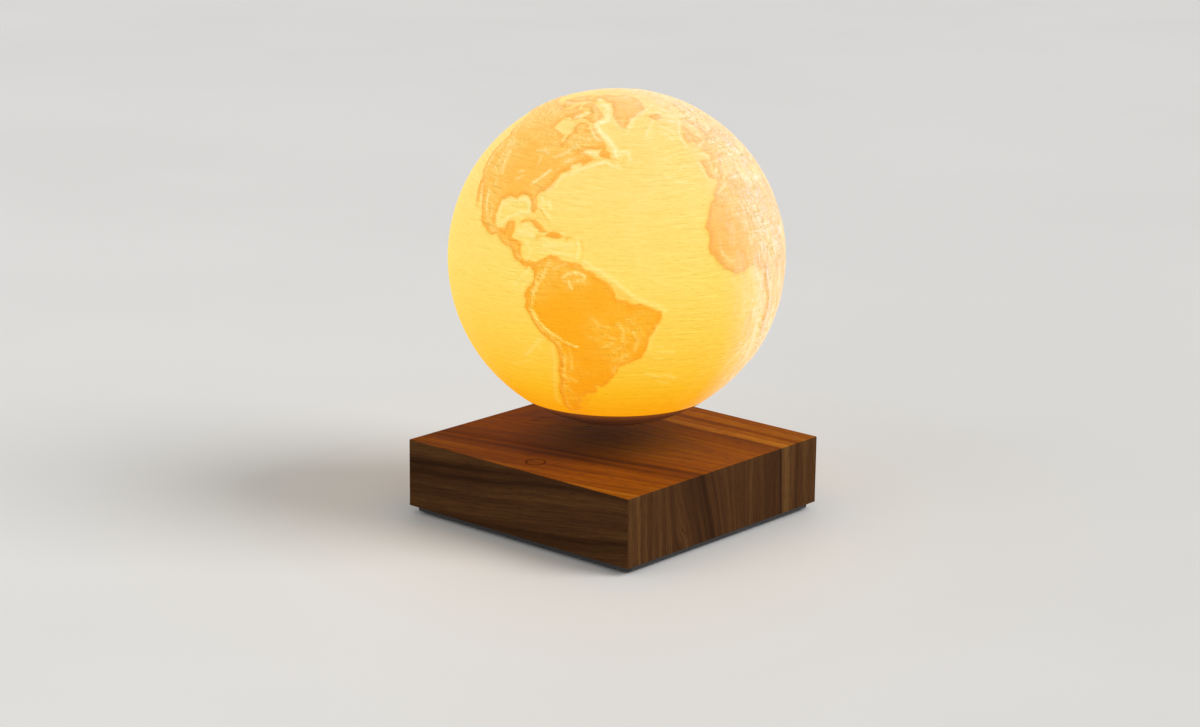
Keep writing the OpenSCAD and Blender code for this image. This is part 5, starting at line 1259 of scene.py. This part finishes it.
def leg_form():
    """Two rows of bent legs on either side of a chip, standing on the place."""
    form = Form("chip_legs", "Legs", "Pitch", "Leg width", "Leg thickness", "From", "Reach", "Rise",
                "Turn over")
    legs, pitch, width, thickness, start, reach, rise, turn_over = form.sizes
    low, middle = thickness * 0.5, (start + reach) * 0.5
    bend = form.add("GeometryNodeCurvePrimitiveBezierSegment", Resolution=8,
                    Start=form.join(0.0, start, rise), Start_Handle=form.join(0.0, middle, rise),
                    End_Handle=form.join(0.0, middle, low), End=form.join(0.0, reach, low))
    leg = form.swept(bend, form.rectangle(width, thickness))
    row = form.add("GeometryNodeMeshLine", Count=legs, Offset=form.join(pitch, 0.0),
                   Start_Location=form.join((legs - 1.0) * pitch * -0.5, 0.0))
    side = form.at_points(leg, points=row)
    both = form.together(side, form.shifted(side, (0.0, 0.0, 0.0), (0.0, 0.0, math.pi)))
    return form.end(form.at_points(both, form.join(turn_over, 0.0)))


def relief_form():
    """Pushes a smooth ball's points out by their height, less and less towards its open edge."""
    form = Form("relief", "Middle height", "Edge height", "Edge fade", "Height scale")
    middle, edge, fade, scale = form.sizes
    x, y, z = form.place()
    height = form.add("GeometryNodeInputNamedAttribute", Name="height")
    push = height * scale * form.remap((z - edge) / fade, 0.0, 1.0)
    out = form.split(form.vector("NORMALIZE", form.join(x, y, z - middle)))
    offset = form.join(*(part * push for part in out))
    return form.end(form.add("GeometryNodeSetPosition", Geometry=form.start, Offset=offset))


# Pieces

def build_globe():
    """The printed shell: relief outside, smooth inside, open where the cap goes."""
    spacing = 0.82 * MM
    rings = round(math.radians(90 + SPLIT_LAT) * SEA_R / spacing)
    lats = np.radians(np.linspace(-SPLIT_LAT, 90.0, rings))[:-1]
    counts = [max(6, round(2 * math.pi * r / spacing)) for r in SEA_R * np.cos(lats)]
    outer, faces = ball(lats, counts)
    height, maps = relief(outer)
    maps.update(lean=slope_light(outer, height), height=height)
    # The inner wall is smooth, so it needs few points
    inner_r, inner_count = SEA_R - WALL, 120
    inner_lats = np.radians(np.linspace(math.degrees(math.asin(SPLIT_Z / inner_r)), 90.0, 40))[:-1]
    inner, inner_faces = ball(inner_lats, [inner_count] * len(inner_lats))
    first = len(outer)
    faces += [tuple(first + corner for corner in face) for face in inner_faces]
    stitch(faces, 0, counts[0], first, inner_count)
    vertices = np.concatenate([outer * SEA_R, inner * inner_r]) + np.array([0.0, 0.0, GLOBE_Z])
    obj = mesh_object("printed_globe", vertices, faces)
    face_outwards(obj)
    for name, values in maps.items():
        inner_value = -COAST_REACH if name == "coast" else 0.0
        add_map(obj, name, np.concatenate([values, np.full(len(inner), inner_value)]))
    grow(obj, relief_form(), globe_finish(), Middle_height=GLOBE_Z, Edge_height=GLOBE_Z + SPLIT_Z,
         Edge_fade=1.2 * MM, Height_scale=MM)
    obj.data.shade_smooth()
    set_in(obj, "globe", "globe_plastic", "globe_shell")


def corners(at, height):
    return [(x * at, y * at, height) for x in (-1, 1) for y in (-1, 1)]


def round_places(count, radius, height, first=0.0):
    angles = [math.radians(first) + 2 * math.pi * k / count for k in range(count)]
    return [(radius * math.cos(a), radius * math.sin(a), height) for a in angles]


def build_screws(finish):
    """Screws of the plate, of the lifting module and of the cap, each set in its node's place."""
    screw = screw_form()
    low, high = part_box("plate_screws")
    head = 2.7 * MM
    grown_piece("plate_screw_set", corners(high.x - head, low.z), screw, finish,
                ("base", "steel", "plate_screws"), Head_radius=head, Neck_radius=1.45 * MM,
                Head_height=1.3 * MM, Shank_radius=1.5 * MM, Length=high.z - low.z, Pitch=1.0 * MM)
    low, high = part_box("module_screws")
    head = 2.8 * MM
    grown_piece("module_screw_set", corners(high.x - head, low.z), screw, finish,
                ("base", "steel", "module_screws"), Head_radius=head, Neck_radius=head,
                Head_height=1.5 * MM, Crown=0.2, Shank_radius=1.5 * MM, Length=high.z - low.z,
                Pitch=0.8 * MM)
    low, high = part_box("cap_screws")
    head, first = 1.9 * MM, 15.0
    at = (high.x - head) / math.cos(math.radians(first))
    grown_piece("cap_screw_set", round_places(3, at, high.z, first), screw, finish,
                ("globe", "steel", "cap_screws"), Head_radius=head, Neck_radius=head,
                Head_height=1.2 * MM, Crown=0.2, Shank_radius=1.0 * MM, Length=high.z - low.z,
                Pitch=0.7 * MM, Turn_over=math.pi)


def build_feet(finish):
    low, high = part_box("feet")
    radius = 6.0 * MM
    grown_piece("foot_set", corners(high.x - radius, low.z), disc_form(), finish,
                ("base", "foot_rubber", "feet"), Radius=radius, Height=high.z - low.z, Rings=5.0,
                Tread=0.4 * MM, Rounding=0.05)


def build_coils(finish):
    """The flat sending and receiving coils and the wire round the four electromagnets."""
    flat = flat_coil_form()
    low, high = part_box("send_coil")
    grown_piece("send_coil_wire", [(0, 0, (low.z + high.z) / 2)], flat, finish,
                ("base", "copper", "send_coil"), Inner_radius=27.5 * MM, Outer_radius=high.x,
                Wire_radius=(high.z - low.z) / 2)
    low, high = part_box("receive_coil")
    wire = (high.z - low.z) / 4
    grown_piece("receive_coil_wire", [(0, 0, low.z + wire), (0, 0, high.z - wire)], flat, finish,
                ("globe", "copper", "receive_coil"), Inner_radius=high.x - 4 * MM,
                Outer_radius=high.x, Wire_radius=wire)
    low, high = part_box("coil_windings")
    outer = 10.61 * MM
    grown_piece("coil_wire", round_places(4, high.x - outer, low.z), winding_form(), finish,
                ("base", "copper", "coil_windings"), Inner_radius=5.17 * MM, Outer_radius=outer,
                Height=high.z - low.z, Wire_radius=0.3 * MM)


def build_chips(finish, legs):
    """The driver chips and the control chip, which hang under the main board."""
    block, bent = block_form(), leg_form()
    low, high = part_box("driver_chips")
    row_y, pitch = (low.y + high.y) / 2, 9.5 * MM
    places = [((k - 1.5) * pitch, row_y, high.z) for k in range(4)]
    grown_piece("driver_chip_set", places, block, finish, ("base", "chip_black", "driver_chips"),
                Width=6.0 * MM, Length=5.0 * MM, Height=high.z - low.z, Draft=0.05,
                Well_radius=0.4 * MM, Well_depth=0.12 * MM, Well_off=-1.7 * MM, Turn_over=math.pi)
    grown_piece("driver_chip_legs", places, bent, legs, ("base", "nickel"), Legs=4.0,
                Pitch=1.27 * MM, Leg_width=0.45 * MM, Leg_thickness=0.2 * MM, From=2.3 * MM,
                Reach=3.5 * MM, Rise=0.8 * MM, Turn_over=math.pi)
    low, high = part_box("control_chip")
    places = [(0.0, (low.y + high.y) / 2, high.z)]
    grown_piece("control_chip_body", places, block, finish, ("base", "chip_black", "control_chip"),
                Width=high.x - low.x, Length=8.2 * MM, Height=high.z - low.z, Draft=0.03,
                Well_radius=0.5 * MM, Well_depth=0.12 * MM, Well_off=-3.2 * MM, Turn_over=math.pi)
    grown_piece("control_chip_legs", places, bent, legs, ("base", "nickel"), Legs=14.0,
                Pitch=0.65 * MM, Leg_width=0.25 * MM, Leg_thickness=0.16 * MM, From=3.9 * MM,
                Reach=5.0 * MM, Rise=0.6 * MM, Turn_over=math.pi)


def build_lamps(package, face):
    """Twelve lamps in a ring on the light board, each with a lit face in its package."""
    low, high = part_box("lamps")
    width, count = 2.8 * MM, 12
    ring = high.x - width / 2
    grown_piece("lamp_packages", round_places(count, ring, low.z), block_form(), package,
                ("globe", "white_moulding", "lamps"), Width=width, Length=3.5 * MM,
                Height=high.z - low.z, Draft=0.03, Well_radius=1.2 * MM, Well_depth=0.35 * MM,
                Facing_out=1.0)
    grown_piece("lamp_faces", round_places(count, ring, high.z - 0.36 * MM), disc_form(), face,
                ("globe", "lamp_face"), Radius=1.15 * MM, Height=0.3 * MM, Rings=3.0, Crown=0.14 * MM)


# The stage

def build_floor():
    size = 8.0
    obj = mesh_object("floor", [(-size, -size, 0), (size, -size, 0), (size, size, 0), (-size, size, 0)],
                      [(0, 1, 2, 3)])
    tree = Tree("pale_floor")
    clouds = tree.remap(tree.noise(tree.place(), 3.0), 0.3, 0.7)
    obj.data.materials.append(tree.finish(
        Base_Color=tree.mix(clouds, (0.74, 0.735, 0.725), (0.77, 0.765, 0.755)), Roughness=0.6,
        Specular_IOR_Level=0.2))


def build_world():
    """A plain pale room: one brightness lights the lamp, another shows behind it."""
    world = bpy.data.worlds.new("pale_room")
    bpy.context.scene.world = world
    world.use_nodes = True
    world.node_tree.nodes.clear()
    room = Wiring(world.node_tree)
    rays = room.node("ShaderNodeLightPath").outputs
    camera, glossy, passed = (Value(room, rays[f"Is {kind} Ray"])
                              for kind in ("Camera", "Glossy", "Transmission"))
    light = room.add("ShaderNodeBackground", i0=(1.0, 0.99, 0.97, 1.0), i1=0.45)
    shown = room.add("ShaderNodeBackground", i0=(0.86, 0.86, 0.86, 1.0))
    choice = room.add("ShaderNodeMixShader", i0=camera.at_least(glossy).at_least(passed), i1=light, i2=shown)
    room.node("ShaderNodeOutputWorld", i0=choice)


def add_lamp(kind, name, place, power, **values):
    """A lamp that looks at the middle of the object."""
    data = bpy.data.lights.new(name, kind)
    data.energy = power
    for key, value in values.items():
        setattr(data, key, value)
    lamp = bpy.data.objects.new(name, data)
    bpy.context.scene.collection.objects.link(lamp)
    lamp.location = place
    aim = Vector((0.0, 0.0, 0.08)) - Vector(place)
    lamp.rotation_euler = aim.to_track_quat("-Z", "Y").to_euler()


def build_camera():
    data = bpy.data.cameras.new("photo_view")
    data.lens, data.sensor_width, data.clip_start = CAMERA_LENS, 36.0, 0.02
    camera = bpy.data.objects.new("photo_view", data)
    bpy.context.scene.collection.objects.link(camera)
    camera.location = CAMERA_AT
    turn = (CAMERA_AIM - CAMERA_AT).to_track_quat("-Z", "Y")
    camera.rotation_euler = (turn @ Euler((0.0, 0.0, CAMERA_ROLL)).to_quaternion()).to_euler()
    bpy.context.scene.camera = camera


build_camera()
build_world()
build_floor()
add_lamp("SUN", "key", (1.3, 0.7, 1.3), 2.0, angle=0.6)
add_lamp("AREA", "fill", (-0.5, -1.6, 1.0), 7.0, size=1.4)

build_globe()

# The top's tones carry painted glow and the sides' tones carry painted shade
cover("wood_top", walnut("walnut_top", GLOW_LIT_TOP_TONES, TOP_STRIPES, (0, 0), (0.21, 0.21, 0.02), True))
cover("wood_front", walnut("walnut_front", SHADED_SIDE_TONES, FRONT_STRIPES, (0, -1), (0.12, 0.12, 0.12)))
cover("wood_right", walnut("walnut_right", SHADED_SIDE_TONES, TOP_STRIPES, (1, 0), (0.05, 0.3, 0.02)))
cover("wood_rear", walnut("walnut_rear", SHADED_SIDE_TONES, TOP_STRIPES, (0, 1), (0.05, 0.05, 0.05)))
cover("wood_left", walnut("walnut_left", SHADED_SIDE_TONES, TOP_STRIPES, (-1, 0), (0.2, 0.2, 0.02)))
cover("bottom_cap", cap_finish())

black = moulded("black_moulding", (0.018, 0.018, 0.02), 0.45)
rubber = moulded("foot_rubber", (0.03, 0.03, 0.03), 0.75, 500.0)
chip = moulded("chip_black", (0.03, 0.03, 0.034), 0.4)
white = moulded("white_moulding", (0.72, 0.70, 0.64), 0.45)
red = moulded("lead_red", (0.45, 0.03, 0.02), 0.35)
steel = metal("zinc_steel", (0.58, 0.58, 0.6), 0.34)
nickel = metal("nickel_plate", (0.72, 0.70, 0.66), 0.2)
ferrite = moulded("ferrite", (0.07, 0.07, 0.075), 0.55, 1400.0)
bright_can = metal("aluminium", (0.76, 0.77, 0.79), 0.3)
copper = winding_copper()
green = circuit_board("green_board", (0.02, 0.14, 0.06), (0.10, 0.22, 0.07))
pale_board = circuit_board("white_board", (0.78, 0.77, 0.73), (0.66, 0.63, 0.56))
pine = moulded("pine_block", (0.62, 0.45, 0.26), 0.6, 300.0)
lamp_face = moulded("lamp_face", (1.0, 0.82, 0.5), 0.3)
build_screws(steel)
build_feet(rubber)
build_coils(copper)
build_chips(chip, nickel)
build_lamps(white, lamp_face)

CARRIED = {
    black: ["bottom_plate", "module_frame", "coil_bobbins"],
    chip: ["hall_sensors", "light_chips", "dc_jack"],
    white: ["coil_tray"],
    red: ["power_leads", "touch_lead"],
    steel: ["coil_cores"],
    nickel: ["float_magnet", "jack_pin", "jack_nut", "spacers"],
    ferrite: ["lift_ring_magnet", "inductor"],
    bright_can: ["capacitors", "heat_sink"],
    copper: ["send_leads", "receive_leads", "touch_pad"],
    green: ["main_board", "sensor_post"],
    pale_board: ["light_board"],
    pine: ["corner_blocks"],
}
for finish, names in CARRIED.items():
    for name in names:
        cover(name, finish)

bpy.context.scene.view_settings.view_transform = "Standard"
